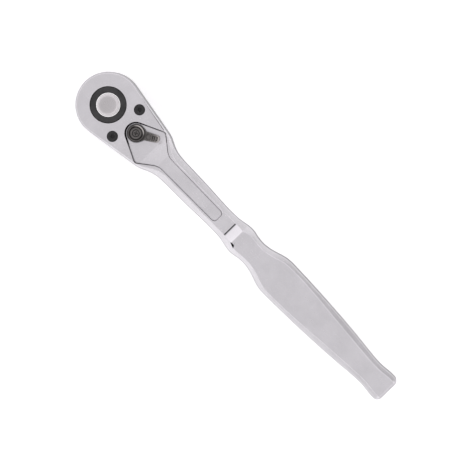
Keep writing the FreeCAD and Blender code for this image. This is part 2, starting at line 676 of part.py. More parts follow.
def reverser_shaft():
    """The lever's shaft, cross-bored for the plunger and drilled for the lever's screw."""
    edge = "edge_chamfer / 4"
    stem = turned("shaft_round", [
        ("0", "shaft_journal_low"), (f"shaft_journal_radius - {edge}", "shaft_journal_low"),
        ("shaft_journal_radius", f"shaft_journal_low + {edge}"), ("shaft_journal_radius", "shaft_low"),
        ("shaft_radius", "shaft_low"), ("shaft_radius", "shaft_top"), ("0", "shaft_top")])
    tenon = box("tenon", "tenon_side", "tenon_side", "shaft_top", "tenon_top")
    thread = cylinder("lever_thread", "lever_screw_radius", "lever_screw_end - past", "tenon_top + past")
    bore = cylinder("plunger_bore", "plunger_bore_radius", "0", "plunger_bore_end + shaft_radius + past")
    along_plunger(bore, "-plunger_bore_end")
    shaft = cut("shaft_bored", fuse("shaft_solid", [stem, tenon]), [thread, bore])
    return finish(lever_turned(shaft), "reverser_shaft")


def pawl_plunger():
    """Round-nosed pin that presses the pawl to one side."""
    pin = cylinder("plunger_pin", "plunger_radius", "0", "plunger_centre - plunger_tail")
    along_plunger(pin, "plunger_tail")
    nose = DOC.addObject("Part::Sphere", "plunger_nose")
    bind(nose, "Radius", "plunger_radius")
    move(nose, "-plunger_centre", "0", "plunger_low")
    return finish(lever_turned(fuse("plunger", [pin, nose])), "pawl_plunger")


def plunger_spring():
    coiled = spring("plunger_coil_spring", "plunger_coil", "plunger_wire", "-plunger_bore_end",
                    "plunger_tail", "plunger_turns")
    laid = DOC.addObject("Part::Compound", "plunger_spring_laid")
    laid.Links = [coiled]
    along_plunger(laid, "0")
    placed = DOC.addObject("Part::Compound", "plunger_spring_placed")
    placed.Links = [laid]
    return finish(lever_turned(placed), "plunger_spring")


def lever_arm():
    """The finger arm, tapered, round at its tip, with three ridges along its top."""
    arm = prism("arm_bar", mirrored([("0", "arm_root"), ("arm_reach", "arm_tip")]), "arm_low", "arm_top")
    tip = cylinder("arm_end", "arm_tip", "arm_low", "arm_top", "arm_reach")
    pieces = [arm, tip]
    for number in range(RIDGES):
        offset = f"({number} - {(RIDGES - 1) / 2}) * ridge_pitch"
        ridge = DOC.addObject("Part::Box", f"ridge_{number}")
        bind(ridge, "Length", "arm_reach - ridge_start")
        bind(ridge, "Width", "ridge_width")
        bind(ridge, "Height", "2 * ridge_height")
        move(ridge, "ridge_start", f"{offset} - ridge_width / 2", "arm_top - ridge_height")
        pieces.append(ridge)
    return pieces


def reversing_lever():
    """Lever: a hub on the shaft's square tenon, a decorative groove and the arm."""
    groove_floor = "lever_top - hub_groove_depth"
    hub = turned("lever_hub", [
        ("0", "lever_low"), ("hub_radius", "lever_low"), ("hub_radius", "lever_top - hub_edge"),
        ("hub_radius - hub_edge", "lever_top"), ("hub_groove_outer", "lever_top"),
        ("hub_groove_outer", groove_floor), ("hub_groove_inner", groove_floor),
        ("hub_groove_inner", "lever_top"), ("0", "lever_top")])
    socket_side = "tenon_side + 2 * tenon_gap"
    socket = box("lever_socket", socket_side, socket_side, "lever_low - past", "lever_seat + tenon_gap")
    seat = cylinder("lever_seat_bore", "lever_bore_radius", "lever_seat", "lever_top + past")
    lever = cut("lever_cut", fuse("lever_solid", [hub] + lever_arm()), [socket, seat])
    return finish(lever_turned(lever), "reversing_lever")


def lever_screw():
    """Small cross-recessed screw that holds the lever on its shaft."""
    top, radius = "lever_screw_top", "lever_screw_head_radius"
    screw = turned("lever_screw_round", [
        ("0", "lever_screw_end"), ("lever_screw_radius", "lever_screw_end"),
        ("lever_screw_radius", "lever_seat"), (radius, "lever_seat"), (radius, f"{top} - cross_width"),
        (f"{radius} - cross_width", top), ("0", top)])
    recess = [box("cross_along", "cross_length", "cross_width", f"{top} - cross_depth", f"{top} + past"),
              box("cross_over", "cross_width", "cross_length", f"{top} - cross_depth", f"{top} + past")]
    return finish(lever_turned(cut("lever_screw_cut", screw, recess)), "lever_screw")


def rubber_ring(label, radius, wire, height, x="0"):
    ring = DOC.addObject("Part::Torus", label + "_torus")
    bind(ring, "Radius1", radius)
    bind(ring, "Radius2", wire)
    move(ring, x, "0", height)
    return finish(ring, label)


# --- build, check, export ---------------------------------------------------------------


def check():
    """Stop if any object failed or any sub-part is not a sound solid."""
    for thing in DOC.Objects:
        if "Invalid" in thing.State or "Error" in thing.State:
            raise RuntimeError(f"{thing.Name}: {thing.State}")
    for piece in PARTS:
        shape = piece.Shape
        if shape.isNull() or not shape.isValid() or not shape.Solids:
            raise RuntimeError(f"{piece.Label} has no sound solid")
        print(f"{piece.Label}: {len(shape.Solids)} solid, {shape.Volume:.1f} mm3, {len(shape.Faces)} faces")


fill_sheet()
wrench_body()
cover_plate()
cover_screws()
drive_gear()
release_button()
release_stem()
release_spring()
snap_ring()
detent_ball()
pawl()
reverser_shaft()
reversing_lever()
lever_screw()
pawl_plunger()
plunger_spring()
rubber_ring("gear_o_ring", "gear_ring_radius", "gear_ring_wire", "(gear_ring_low + gear_ring_high) / 2")
rubber_ring("lever_o_ring", "lever_ring_radius", "lever_ring_wire", "lever_ring_floor + lever_ring_wire",
            "lever_x")
DOC.recompute()
check()
os.makedirs("parts", exist_ok=True)
for part in PARTS:
    part.Shape.exportStep(f"parts/{part.Label}.step")
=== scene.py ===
import json
import math

import bpy
import numpy as np
from mathutils import Matrix, Vector


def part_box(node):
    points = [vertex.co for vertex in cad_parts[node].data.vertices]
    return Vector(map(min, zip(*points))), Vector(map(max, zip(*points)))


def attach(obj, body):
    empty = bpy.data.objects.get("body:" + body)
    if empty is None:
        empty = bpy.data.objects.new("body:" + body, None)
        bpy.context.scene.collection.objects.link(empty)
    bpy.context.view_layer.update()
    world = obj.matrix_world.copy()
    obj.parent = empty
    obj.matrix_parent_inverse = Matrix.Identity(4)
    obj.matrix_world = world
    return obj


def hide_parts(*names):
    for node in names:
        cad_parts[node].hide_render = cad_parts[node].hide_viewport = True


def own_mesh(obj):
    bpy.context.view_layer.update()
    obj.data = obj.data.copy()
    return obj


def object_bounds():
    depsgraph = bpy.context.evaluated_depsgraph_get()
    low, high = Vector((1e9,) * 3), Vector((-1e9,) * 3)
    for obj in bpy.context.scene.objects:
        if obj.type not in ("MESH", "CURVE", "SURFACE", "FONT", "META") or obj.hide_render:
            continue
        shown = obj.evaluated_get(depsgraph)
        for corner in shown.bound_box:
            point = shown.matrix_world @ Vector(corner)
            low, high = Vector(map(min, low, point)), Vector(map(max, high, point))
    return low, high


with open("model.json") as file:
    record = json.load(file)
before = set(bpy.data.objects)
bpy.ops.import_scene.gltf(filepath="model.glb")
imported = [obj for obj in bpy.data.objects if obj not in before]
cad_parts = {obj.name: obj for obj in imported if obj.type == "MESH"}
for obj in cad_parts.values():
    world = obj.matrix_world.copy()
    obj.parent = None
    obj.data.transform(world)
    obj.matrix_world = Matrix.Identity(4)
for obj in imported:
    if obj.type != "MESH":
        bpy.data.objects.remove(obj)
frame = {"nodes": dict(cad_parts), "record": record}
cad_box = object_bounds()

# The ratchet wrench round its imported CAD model. Lengths below are in millimetres and become
# metres when a mesh is made. Levels and radii that the frame holds are read from it.

MM = 0.001


def box_mm(node):
    """Lowest and highest corner of a CAD node, in millimetres."""
    return [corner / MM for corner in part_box(node)]


BODY_LOW, BODY_HIGH = box_mm("wrench_body")
PLATE_HIGH = box_mm("cover_plate")[1]
SCREW_LOW, SCREW_HIGH = box_mm("cover_screws")
BUTTON_LOW, BUTTON_HIGH = box_mm("release_button")
RING_LOW, RING_HIGH = box_mm("button_snap_ring")
LEVER_LOW, LEVER_HIGH = box_mm("reversing_lever")
LEVER_SCREW_LOW, LEVER_SCREW_HIGH = box_mm("lever_screw")

HEAD_RADIUS = -BODY_LOW.x
HEAD_TOP = BODY_HIGH.z
MIDDLE = (BODY_LOW.z + BODY_HIGH.z) / 2
TAIL_X = BODY_HIGH.x
LEVER_X = (LEVER_SCREW_LOW.x + LEVER_SCREW_HIGH.x) / 2
PAST = 1.0  # how far a cutting shape runs past the face that it opens
HAIR = 0.001  # keeps two levels of a cutting shape or of its target from meeting exactly
LIP = 0.22  # rounding of the rims of bores and pockets
ROUND_STEPS = 5  # faces round a rounded corner

# head: its flanks run straight from the round end to JOIN_X, where the neck begins
HEAD_TAPER = math.radians(9.3)
JOIN_X = 35.0
HEAD_EDGE = 0.8  # width of the bevel round the head's end
FLANK_EDGE = 1.2  # width that it has grown to at JOIN_X
FLANK_START = 4.0  # x where it starts to grow
# the fine line that the milling of the head's face leaves along its +Y flank: its ends (x, y),
# its half width at the second end, and its depth
WITNESS = ((9.5, 16.85), (32.8, 12.82), 0.2, 0.4)

# rooms for the mechanism inside the head: radii, levels, outlines and places along x
CHAMBER_TOP = 11.6
CHAMBER_RADIUS = 13.4
BEARING_RADIUS = 10.7
BEARING_STEP = 1.0  # width of the shoulder inside the gear's bearing
PAWL_ROOM = [(9.0, -8.0), (15.6, -7.6), (20.6, -3.3), (20.6, 3.3), (15.6, 7.6), (9.0, 8.0)]
PIVOT_X = 17.2
PIVOT_RADIUS = 1.95
PIVOT_TOP = 12.87
SHAFT_ROOM = 3.5
SHAFT_RADIUS = 3.05
SEAL_RADIUS = 4.1
SEAL_LOW = 12.93
PLATE_MARGIN = 2.4  # between the edges of the head and of the cover plate's seat
PLATE_GAP = 0.05
PLATE_CORNER = 5.0

# cover screws
SCREW_HEAD = 3.1
SCREW_SHANK = 2.0
SCREW_SEAT = 14.4  # level of the underside of the heads
SCREW_BORE = 3.2
SCREW_HOLE = 2.1
SOCKET_ACROSS = 2.6
SOCKET_DEPTH = 1.6
SCREWS = [((SCREW_LOW.x + SCREW_HIGH.x) / 2, side * (SCREW_HIGH.y - SCREW_HEAD)) for side in (1, -1)]

# Cross-sections, each (x, half width, half width of the flat land, half height).
NECK = [
    (38.0, 12.9, 11.4, 8.05), (40.8, 11.75, 9.9, 7.85), (43.7, 10.4, 8.0, 7.6), (46.6, 9.4, 6.5, 7.4),
    (50.5, 8.75, 5.3, 7.27), (57.0, 8.5, 4.95, 7.05), (78.0, 8.05, 4.8, 6.35), (94.0, 7.6, 4.7, 5.8),
    (99.9, 7.9, 4.6, 5.6),
]
STEP = [(100.6, 8.0, 4.6, 5.65), (105.3, 8.93, 4.5, 7.4)]
HANDLE = [
    (105.8, 9.02, 4.55, 7.6), (110.0, 9.3, 5.9, 7.6), (114.0, 8.55, 5.9, 7.6), (119.0, 8.0, 5.5, 7.6),
    (125.0, 8.75, 5.9, 7.6), (130.5, 10.4, 7.3, 7.6), (135.5, 11.8, 9.0, 7.6), (142.0, 12.1, 9.6, 7.6),
    (155.0, 11.8, 9.4, 7.6), (176.0, 10.9, 7.9, 7.6), (200.0, 9.2, 6.0, 7.6), (213.0, 8.05, 5.2, 7.6),
    (219.5, 8.1, 5.3, 7.6), (224.5, 8.65, 5.9, 7.6), (227.6, 8.7, 6.0, 7.6),
]
TAIL_INSET = 1.2  # width of the bevel across the handle's end
SOFT_EDGE = 2.4  # radius of the forging's outer edges
CRISP_EDGE = 0.6  # radius where the bevels meet the lands
# (x, degrees): how steep the long bevels are along the tool
BEVEL_SLOPES = ((5.0, 45.0), (20.0, 52.0), (34.0, 52.0), (46.0, 48.2), (125.0, 49.0), (150.0, 46.6),
                (200.0, 45.8))
# start, end, half width and depth of the groove before the step
GROOVE = (99.95, 100.65, 4.55, 1.3)
# corners (x, y, depth) of the small hollow at the -Y corner of the top of the step
HOLLOW = ((105.8, -5.0, 1.25), (107.9, -3.4, 0.1), (109.6, -6.4, 2.2))

# lever pocket: a round nose, straight sides to two corners, and a ramp up to the neck's panel
POCKET_RADIUS = 6.55
POCKET_SLOPE = math.radians(25.4)
POCKET_FLOOR = 14.0
POCKET_CORNER_X = 34.6
POCKET_CORNER = 2.5
POCKET_RAMP_X = 36.9
PANEL_X = 45.5
PANEL_HALF = 4.2
PANEL_END_X = 91.3
PANEL_END_HALF = 3.8
PANEL_END_FLAT = 0.6  # half width of the flat middle of a panel's or a seat's end
PANEL_CORNER = 2.3
PANEL_BEND = 9.0  # radius of the turn from the pocket's side into the panel's
PANEL_DEPTH = 0.9
LOW_PANEL_X = 54.0
LEAN = 0.36  # how far the walls of the pocket and the panels lean in from rim to floor
FOOT = 0.4  # most that the foot of such a wall is rounded


# --- outlines -------------------------------------------------------------------------


def path(corners, spacing, turn_steps=10):
    """Points (x, y, nx, ny) along straight runs joined by arcs. A corner is (x, y, radius), and
    the normals point to the left of the way the path runs."""
    made = []
    places = [Vector(corner[:2]) for corner in corners]
    cursor = places[0]
    for index in range(1, len(corners)):
        ahead = (places[index] - cursor).normalized()
        normal = Vector((-ahead.y, ahead.x))
        radius = corners[index][2]
        if radius:
            after = (places[index + 1] - places[index]).normalized()
            turn = math.atan2(ahead.cross(after), ahead.dot(after))
            reach = radius * abs(math.tan(turn / 2))
            stop = places[index] - ahead * reach
        else:
            stop = places[index]
        length = (stop - cursor).length
        count = max(1, math.ceil(length / spacing)) if length > 1e-6 else 0
        made += [(*(cursor.lerp(stop, k / count)), *normal) for k in range(count)]
        if not radius:
            made.append((*stop, *normal))
            cursor = stop
            continue
        side = 1 if turn > 0 else -1
        centre = stop + normal * side * radius
        for k in range(turn_steps + (index + 1 == len(corners))):
            angle = turn * k / turn_steps
            facing = Matrix.Rotation(angle, 2) @ normal
            made.append((*(centre - facing * side * radius), *facing))
        cursor = centre - (Matrix.Rotation(turn, 2) @ normal) * side * radius
    return made


def smooth_curve(places, values):
    """A natural cubic spline through the values, as a function."""
    x, y = np.array(places, float), np.array(values, float)
    gap, rise = np.diff(x), np.diff(y) / np.diff(x)
    size = len(x)
    matrix, right = np.eye(size), np.zeros(size)
    for k in range(1, size - 1):
        matrix[k, k - 1:k + 2] = gap[k - 1], 2 * (gap[k - 1] + gap[k]), gap[k]
        right[k] = 6 * (rise[k] - rise[k - 1])
    bend = np.linalg.solve(matrix, right)

    def at(place):
        k = int(np.clip(np.searchsorted(x, place) - 1, 0, size - 2))
        a, b = (x[k + 1] - place) / gap[k], (place - x[k]) / gap[k]
        bow = ((a ** 3 - a) * bend[k] + (b ** 3 - b) * bend[k + 1]) * gap[k] ** 2 / 6
        return float(a * y[k] + b * y[k + 1] + bow)

    return at


def sections_along(stations, spacing):
    """Sections (x, half, land, rise) that run smoothly through the stations."""
    places, *columns = zip(*stations)
    curves = [smooth_curve(places, column) for column in columns]
    count = math.ceil((places[-1] - places[0]) / spacing)
    return [(x, *(curve(x) for curve in curves)) for x in np.linspace(places[0], places[-1], count + 1)]


# --- meshes ---------------------------------------------------------------------------


def make_mesh(name, points, faces):
    """A new object from points in millimetres."""
    mesh = bpy.data.meshes.new(name)
    mesh.from_pydata([tuple(axis * MM for axis in point) for point in points], [], faces)
    mesh.validate()
    made = bpy.data.objects.new(name, mesh)
    bpy.context.scene.collection.objects.link(made)
    return made


def ladder(name, outline, levels):
    """A closed solid, symmetric about XZ, over the outline of its +Y half. levels(index) lists
    (outward offset, z) from the bottom to the top of the wall at each point of the outline."""
    places = list(enumerate(outline))
    for end, inner in ((0, 1), (-1, -2)):
        while abs(places[end][1][0] - places[inner][1][0]) < 1e-6:
            places.pop(end)  # an end wall is one flat face, from the last point to its mirror
    points, rows, mirrors = [], [], []
    for index, (x, y, nx, ny) in places:
        wall = levels(index)
        for made, side in ((rows, 1), (mirrors, -1)):
            if side < 0 and abs(y) < 1e-6 and abs(ny) < 1e-6:
                made.append(rows[-1])
                continue
            made.append(range(len(points), len(points) + len(wall)))
            points += [(x + nx * out, side * (y + ny * out), z) for out, z in wall]
    faces = []
    for side, flipped in ((rows, False), (mirrors, True)):
        for first, second in zip(side, side[1:]):
            for low in range(len(first) - 1):
                quad = (first[low], first[low + 1], second[low + 1], second[low])
                faces.append(quad[::-1] if flipped else quad)
    for end, flipped in ((-1, False), (0, True)):
        if rows[end] != mirrors[end]:
            for low in range(len(rows[end]) - 1):
                quad = (rows[end][low], rows[end][low + 1], mirrors[end][low + 1], mirrors[end][low])
                faces.append(quad[::-1] if flipped else quad)
    for end, flipped in ((0, False), (-1, True)):
        for k in range(len(rows) - 1):
            rung = [rows[k][end], rows[k + 1][end], mirrors[k + 1][end], mirrors[k][end]]
            rung = [corner for place, corner in enumerate(rung) if corner not in rung[:place]]
            faces.append(tuple(rung[::-1] if flipped else rung))
    return make_mesh(name, points, faces)


def lathe(name, outline, segments=96, centre=(0.0, 0.0)):
    """A solid turned about a vertical axis from (radius, z) points; a radius of 0 is a pole."""
    points, rings = [], []
    for radius, z in outline:
        if radius < 1e-6:
            rings.append([len(points)] * segments)
            points.append((centre[0], centre[1], z))
            continue
        rings.append([len(points) + k for k in range(segments)])
        for k in range(segments):
            angle = 2 * math.pi * k / segments
            points.append((centre[0] + radius * math.cos(angle), centre[1] + radius * math.sin(angle), z))
    faces = []
    closed = rings[0][0] != rings[0][1] and rings[-1][0] != rings[-1][1]
    for lower, upper in zip(rings, rings[1:] + (rings[:1] if closed else [])):
        for k in range(segments):
            following = (k + 1) % segments
            quad = [lower[k], lower[following], upper[following], upper[k]]
            faces.append(tuple(corner for place, corner in enumerate(quad) if corner not in quad[:place]))
    return make_mesh(name, points, faces)


def prism(name, corners, low, high):
    """A straight prism over an outline in XY."""
    count = len(corners)
    points = [(x, y, z) for z in (low, high) for x, y in corners]
    faces = [tuple(range(count))[::-1], tuple(range(count, 2 * count))]
    faces += [(k, (k + 1) % count, (k + 1) % count + count, k + count) for k in range(count)]
    return make_mesh(name, points, faces)


def rounded_profile(corners):
    """(r, z) points of an outline whose corners (r, z, radius) are rounded."""
    made = []
    for index, (along, up, radius) in enumerate(corners):
        if not radius:
            made.append((along, up))
            continue
        corner = Vector((along, up))
        before = Vector(corners[index - 1][:2]) - corner
        after = Vector(corners[(index + 1) % len(corners)][:2]) - corner
        reach = radius / math.tan(before.angle(after) / 2)
        start, end = corner + before.normalized() * reach, corner + after.normalized() * reach
        for k in range(ROUND_STEPS + 1):
            t = k / ROUND_STEPS
            made.append(tuple(start * (1 - t) ** 2 + corner * 2 * t * (1 - t) + end * t ** 2))
    return made


def carve(solid, tools, operation="DIFFERENCE"):
    """Apply booleans with each tool in turn, and remove the tools."""
    for tool in tools:
        step = solid.modifiers.new("carve", "BOOLEAN")
        step.operation = operation
        step.solver = "EXACT"
        step.object = tool
    bpy.context.view_layer.update()
    cut = bpy.data.meshes.new_from_object(solid.evaluated_get(bpy.context.evaluated_depsgraph_get()))
    solid.modifiers.clear()
    solid.data = cut
    for tool in tools:
        bpy.data.objects.remove(tool)


def finish_piece(piece, material, body, replaced, sharp=40.0):
    """Smooth a piece except at edges sharper than this many degrees, give it a finish and put it
    on its body in place of the CAD nodes."""
    mesh = piece.data
    mesh.materials.clear()
    mesh.materials.append(material)
    mesh.shade_smooth()
    mesh.set_sharp_from_angle(angle=math.radians(sharp))
    weighted = piece.modifiers.new("flat faces stay flat", "WEIGHTED_NORMAL")
    weighted.keep_sharp = True
    weighted.weight = 80
    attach(piece, body)
    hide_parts(*replaced)


# --- materials ------------------------------------------------------------------------


class Nodes:
    """A short way to write a material's node tree."""

    def __init__(self, name):
        self.material = bpy.data.materials.new(name)
        self.material.use_nodes = True
        self.tree = self.material.node_tree
        self.tree.nodes.clear()
        self.output = self.tree.nodes.new("ShaderNodeOutputMaterial")
        self.surface = self.tree.nodes.new("ShaderNodeBsdfPrincipled")
        self.tree.links.new(self.surface.outputs["BSDF"], self.output.inputs["Surface"])
        self.place = self.add("ShaderNodeTexCoord").outputs["Object"]

    def add(self, kind, sources=None, **settings):
        """A new node with its settings, and values or sockets fed to its inputs."""
        node = self.tree.nodes.new(kind)
        for setting, wanted in settings.items():
            setattr(node, setting, wanted)
        for socket, source in (sources or {}).items():
            self.feed(node.inputs[socket], source)
        return node

    def feed(self, socket, source):
        """Link a socket to an input, or give the input a plain value."""
        if isinstance(source, bpy.types.NodeSocket):
            self.tree.links.new(source, socket)
        else:
            socket.default_value = source

    def noise(self, scale, detail=3.0, roughness=0.5, stretch=None):
        """Noise from 0 to 1 with features about 1 / scale metres across."""
        place = self.place
        if stretch:
            place = self.add("ShaderNodeMapping", {"Vector": place, "Scale": stretch}).outputs["Vector"]
        node = self.add("ShaderNodeTexNoise", {"Vector": place, "Scale": scale, "Detail": detail,
                                               "Roughness": roughness})
        return node.outputs["Fac"]

    def spread(self, factor, low, high, start=0.3, end=0.7, way="LINEAR"):
        """Map start..end of a factor to low..high."""
        node = self.add("ShaderNodeMapRange", {"Value": factor, "From Min": start, "From Max": end,
                                               "To Min": low, "To Max": high}, interpolation_type=way)
        return node.outputs["Result"]

    def maths(self, operation, first, second):
        return self.add("ShaderNodeMath", {0: first, 1: second}, operation=operation).outputs["Value"]

    def blend(self, factor, first, second):
        """The first colour where the factor is 0 and the second where it is 1."""
        node = self.add("ShaderNodeMix", {"Factor": factor, 6: first, 7: second}, data_type="RGBA")
        return node.outputs[2]

    def zones(self, centre, levels):
        """A factor read from (distance from the centre in millimetres, factor) pairs."""
        away = self.add("ShaderNodeVectorMath", {0: self.place, 1: [axis * MM for axis in centre]},
                        operation="DISTANCE").outputs["Value"]
        reach = levels[-1][0]
        ramp = self.add("ShaderNodeValToRGB", {"Fac": self.maths("DIVIDE", away, reach * MM)})
        fill_ramp(ramp.color_ramp, [(distance / reach, grey(level)) for distance, level in levels])
        return ramp.outputs["Color"]

    def edges(self, radius):
        """1 within about radius (mm) of an edge and 0 on open faces."""
        rounded = self.add("ShaderNodeBevel", {"Radius": radius * MM}, samples=6).outputs["Normal"]
        plain = self.add("ShaderNodeNewGeometry").outputs["Normal"]
        match = self.add("ShaderNodeVectorMath", {0: rounded, 1: plain}, operation="DOT_PRODUCT")
        return self.spread(match.outputs["Value"], 1.0, 0.0, 0.90, 0.995)

    def crevices(self, reach, dark=0.5, light=0.9):
        """1 deep in a corner between faces and 0 on open faces. Faces within reach (mm) count,
        and dark and light are the open shares of the view where it is 1 and 0."""
        shade = self.add("ShaderNodeAmbientOcclusion", {"Distance": reach * MM}, samples=12)
        return self.spread(shade.outputs["AO"], 1.0, 0.0, dark, light)

    def steep(self, upright, flat):
        """1 where the normal's height is under upright, falling to 0 where it is over flat."""
        facing = self.add("ShaderNodeSeparateXYZ", {0: self.add("ShaderNodeTexCoord").outputs["Normal"]})
        height = self.add("ShaderNodeMath", {0: facing.outputs["Z"]}, operation="ABSOLUTE").outputs["Value"]
        return self.spread(height, 1.0, 0.0, upright, flat)

    def bump(self, heights, edge=0.0):
        """Add height fields, each (factor, depth in mm), over a normal rounded at the edges."""
        normal = None
        if edge:
            normal = self.add("ShaderNodeBevel", {"Radius": edge * MM}, samples=6).outputs["Normal"]
        for factor, depth in heights:
            node = self.add("ShaderNodeBump", {"Height": factor, "Distance": depth * MM, "Strength": 1.0})
            if normal:
                self.feed(node.inputs["Normal"], normal)
            normal = node.outputs["Normal"]
        self.feed(self.surface.inputs["Normal"], normal)

    def dress(self, colour, roughness, metallic=1.0, **others):
        """Feed the surface its colour, roughness and the rest, and hand back the material."""
        self.feed(self.surface.inputs["Base Color"], colour)
        self.feed(self.surface.inputs["Roughness"], roughness)
        self.feed(self.surface.inputs["Metallic"], metallic)
        for socket, source in others.items():
            self.feed(self.surface.inputs[socket.replace("_", " ")], source)
        return self.material


def grey(level, tint=(1.0, 1.0, 1.0)):
    return (level * tint[0], level * tint[1], level * tint[2], 1.0)


def fill_ramp(ramp, stops):
    """Give a colour ramp its (place, colour) stops."""
    while len(ramp.elements) < len(stops):
        ramp.elements.new(0.5)
    for element, (place, colour) in zip(ramp.elements, stops):
        element.position = place
        element.color = colour


COOL = (0.997, 0.978, 1.005)
WORN_STEEL = 0.22  # level of the steel where black oxide has worn off
WALL_SHADE = 0.42  # level of the painted shade on upright walls, against that of the polished faces
CORNER_SHADE = 0.05  # level of the painted shade in corners and on the upright walls of a pocket


def chrome_finish(name, level, rough, cloud=0.03, tint=COOL, corner=0.95):
    """Satin chrome plate: a faint cloud in the polish, fine pits, polishing lines, painted shade on
    upright walls and painted shade in corners within about corner (mm)."""
    nodes = Nodes(name)
    broad = nodes.noise(90.0, 2.0)
    fine = nodes.noise(900.0, 4.0, 0.6)
    lines = nodes.noise(160.0, 3.0, 0.6, stretch=(0.6, 14.0, 14.0))
    dim, bright = grey(level - cloud, tint), grey(level + cloud, tint)
    open_faces = nodes.blend(nodes.spread(broad, 0.0, 1.0), dim, bright)
    # painted shade: upright walls get a darker colour
    wall_shaded = nodes.blend(nodes.steep(0.30, 0.64), open_faces, grey(WALL_SHADE * level, tint))
    # painted shade in corners and on the upright walls of pockets, from ambient occlusion
    pocket_wall_shade = nodes.maths("MULTIPLY", nodes.steep(0.45, 0.8), nodes.crevices(3.0, 0.7, 0.95))
    corner_shade_mask = nodes.maths("MAXIMUM", pocket_wall_shade, nodes.crevices(corner))
    colour = nodes.blend(corner_shade_mask, wall_shaded, grey(CORNER_SHADE * level, tint))
    sheen = nodes.maths("ADD", nodes.spread(lines, -0.03, 0.03), nodes.spread(fine, -0.03, 0.03))
    roughness = nodes.maths("ADD", sheen, rough)
    nodes.bump([(nodes.noise(220.0, 2.0), 0.010), (fine, 0.0025), (lines, 0.0015)])
    return nodes.dress(colour, roughness, Specular_Tint=grey(0.5))


def black_finish(name, level, rough):
    """Black oxide on turned steel: fine grain, oil-dark patches and steel at worn edges."""
    nodes = Nodes(name)
    grain = nodes.noise(2600.0, 3.0, 0.6)
    patches = nodes.noise(260.0, 3.0, 0.55)
    tint = (1.0, 0.985, 1.0)
    base = nodes.blend(nodes.spread(patches, 0.0, 1.0), grey(level * 0.75, tint), grey(level * 1.2, tint))
    lighter_edges = nodes.maths("MULTIPLY", nodes.edges(0.12), nodes.spread(grain, 0.0, 1.0, 0.45, 0.7))
    colour = nodes.blend(lighter_edges, base, grey(WORN_STEEL))
    nodes.bump([(grain, 0.004), (patches, 0.004)], edge=0.1)
    return nodes.dress(colour, nodes.spread(patches, rough - 0.06, rough + 0.08), 0.6)


def steel_finish(name, level, rough, tint=(1.0, 0.99, 0.98)):
    """Ground or drawn steel, with fine lines one way."""
    nodes = Nodes(name)
    lines = nodes.noise(700.0, 4.0, 0.6, stretch=(1.0, 1.0, 12.0))
    cloud = nodes.noise(400.0, 2.0)
    colour = nodes.blend(nodes.spread(cloud, 0.0, 1.0), grey(level * 0.93, tint), grey(level * 1.05, tint))
    nodes.bump([(lines, 0.003)], edge=0.08)
    return nodes.dress(colour, nodes.spread(lines, rough - 0.05, rough + 0.07))


# Shade of the lever, by distance (mm) from the middle of its hub: screw, hub, groove, rim, arm, tip.
# The dark rings round the screw and on the hub's side are painted shade; the dark ring in the groove is
# painted shade and grime.
LEVER_ZONES = ((0.0, 0.13), (1.9, 0.13), (2.2, 0.06), (2.5, 0.17), (3.1, 0.14), (3.5, 0.06), (3.9, 0.06),
               (4.3, 0.12), (4.65, 0.11), (4.9, 0.04), (5.3, 0.05), (6.3, 0.13), (10.5, 0.16), (14.5, 0.50))
# Painted highlight on the hub's rim, by the same distance; only on the rim's +Y side.
RIM_HIGHLIGHT = ((0.0, 0.0), (3.9, 0.0), (4.2, 1.0), (4.7, 1.0), (4.9, 0.0))
RIM_HIGHLIGHT_SIDE = (0.0022, 0.0040)  # y, in metres, over which the painted highlight's side begins
ARM_EDGE_HIGHLIGHT = (0.0278, 0.0290)  # x, in metres, over which the painted highlight on the arm's edges begins


def gunmetal_finish(name, rough):
    """Dark nickel over a casting: brownish, grained, lighter to the arm's tip, with painted shade and
    highlights.
    """
    nodes = Nodes(name)
    grain = nodes.noise(1500.0, 4.0, 0.65)
    patches = nodes.noise(240.0, 3.0, 0.6)
    warm = (1.0, 0.945, 0.91)
    hub = (LEVER_X, 0.0, HEAD_TOP)
    # tone by distance from the hub, with painted shade in its dark rings
    zones = nodes.zones(hub, LEVER_ZONES)
    cast = nodes.blend(nodes.spread(patches, 0.0, 1.0), grey(0.75, warm), grey(1.25, warm))
    shaded = nodes.add("ShaderNodeVectorMath", {0: zones, 1: cast}, operation="MULTIPLY").outputs["Vector"]
    split = nodes.add("ShaderNodeSeparateXYZ", {0: nodes.place})
    # painted highlight: a lighter crescent on the +Y side of the hub's rim
    highlight_side = nodes.spread(split.outputs["Y"], 0.0, 1.0, *RIM_HIGHLIGHT_SIDE)
    rim_highlight = nodes.maths("MULTIPLY", nodes.zones(hub, RIM_HIGHLIGHT), highlight_side)
    with_rim_highlight = nodes.blend(rim_highlight, shaded, grey(0.55, warm))
    # painted shade in the lever's crevices, from ambient occlusion
    dark = nodes.blend(nodes.crevices(0.8), with_rim_highlight, grey(0.03, warm))
    highlight_end = nodes.spread(split.outputs["X"], 0.0, 1.0, *ARM_EDGE_HIGHLIGHT)
    # painted highlight: lighter edges along the arm
    lighter_edges = nodes.maths("MULTIPLY", nodes.edges(0.3), highlight_end)
    colour = nodes.blend(lighter_edges, dark, grey(0.34, warm))
    nodes.bump([(grain, 0.010), (patches, 0.012)], edge=0.1)
    return nodes.dress(colour, nodes.spread(grain, rough - 0.07, rough + 0.07))


def rubber_finish(name):
    """Matt black rubber with a fine grain and some dust."""
    nodes = Nodes(name)
    grain = nodes.noise(3000.0, 3.0, 0.6)
    dust = nodes.noise(300.0, 3.0, 0.6)
    colour = nodes.blend(nodes.spread(dust, 0.0, 1.0, 0.45, 0.75), grey(0.018), grey(0.05))
    nodes.bump([(grain, 0.006)])
    return nodes.dress(colour, nodes.spread(dust, 0.55, 0.75), 0.0)


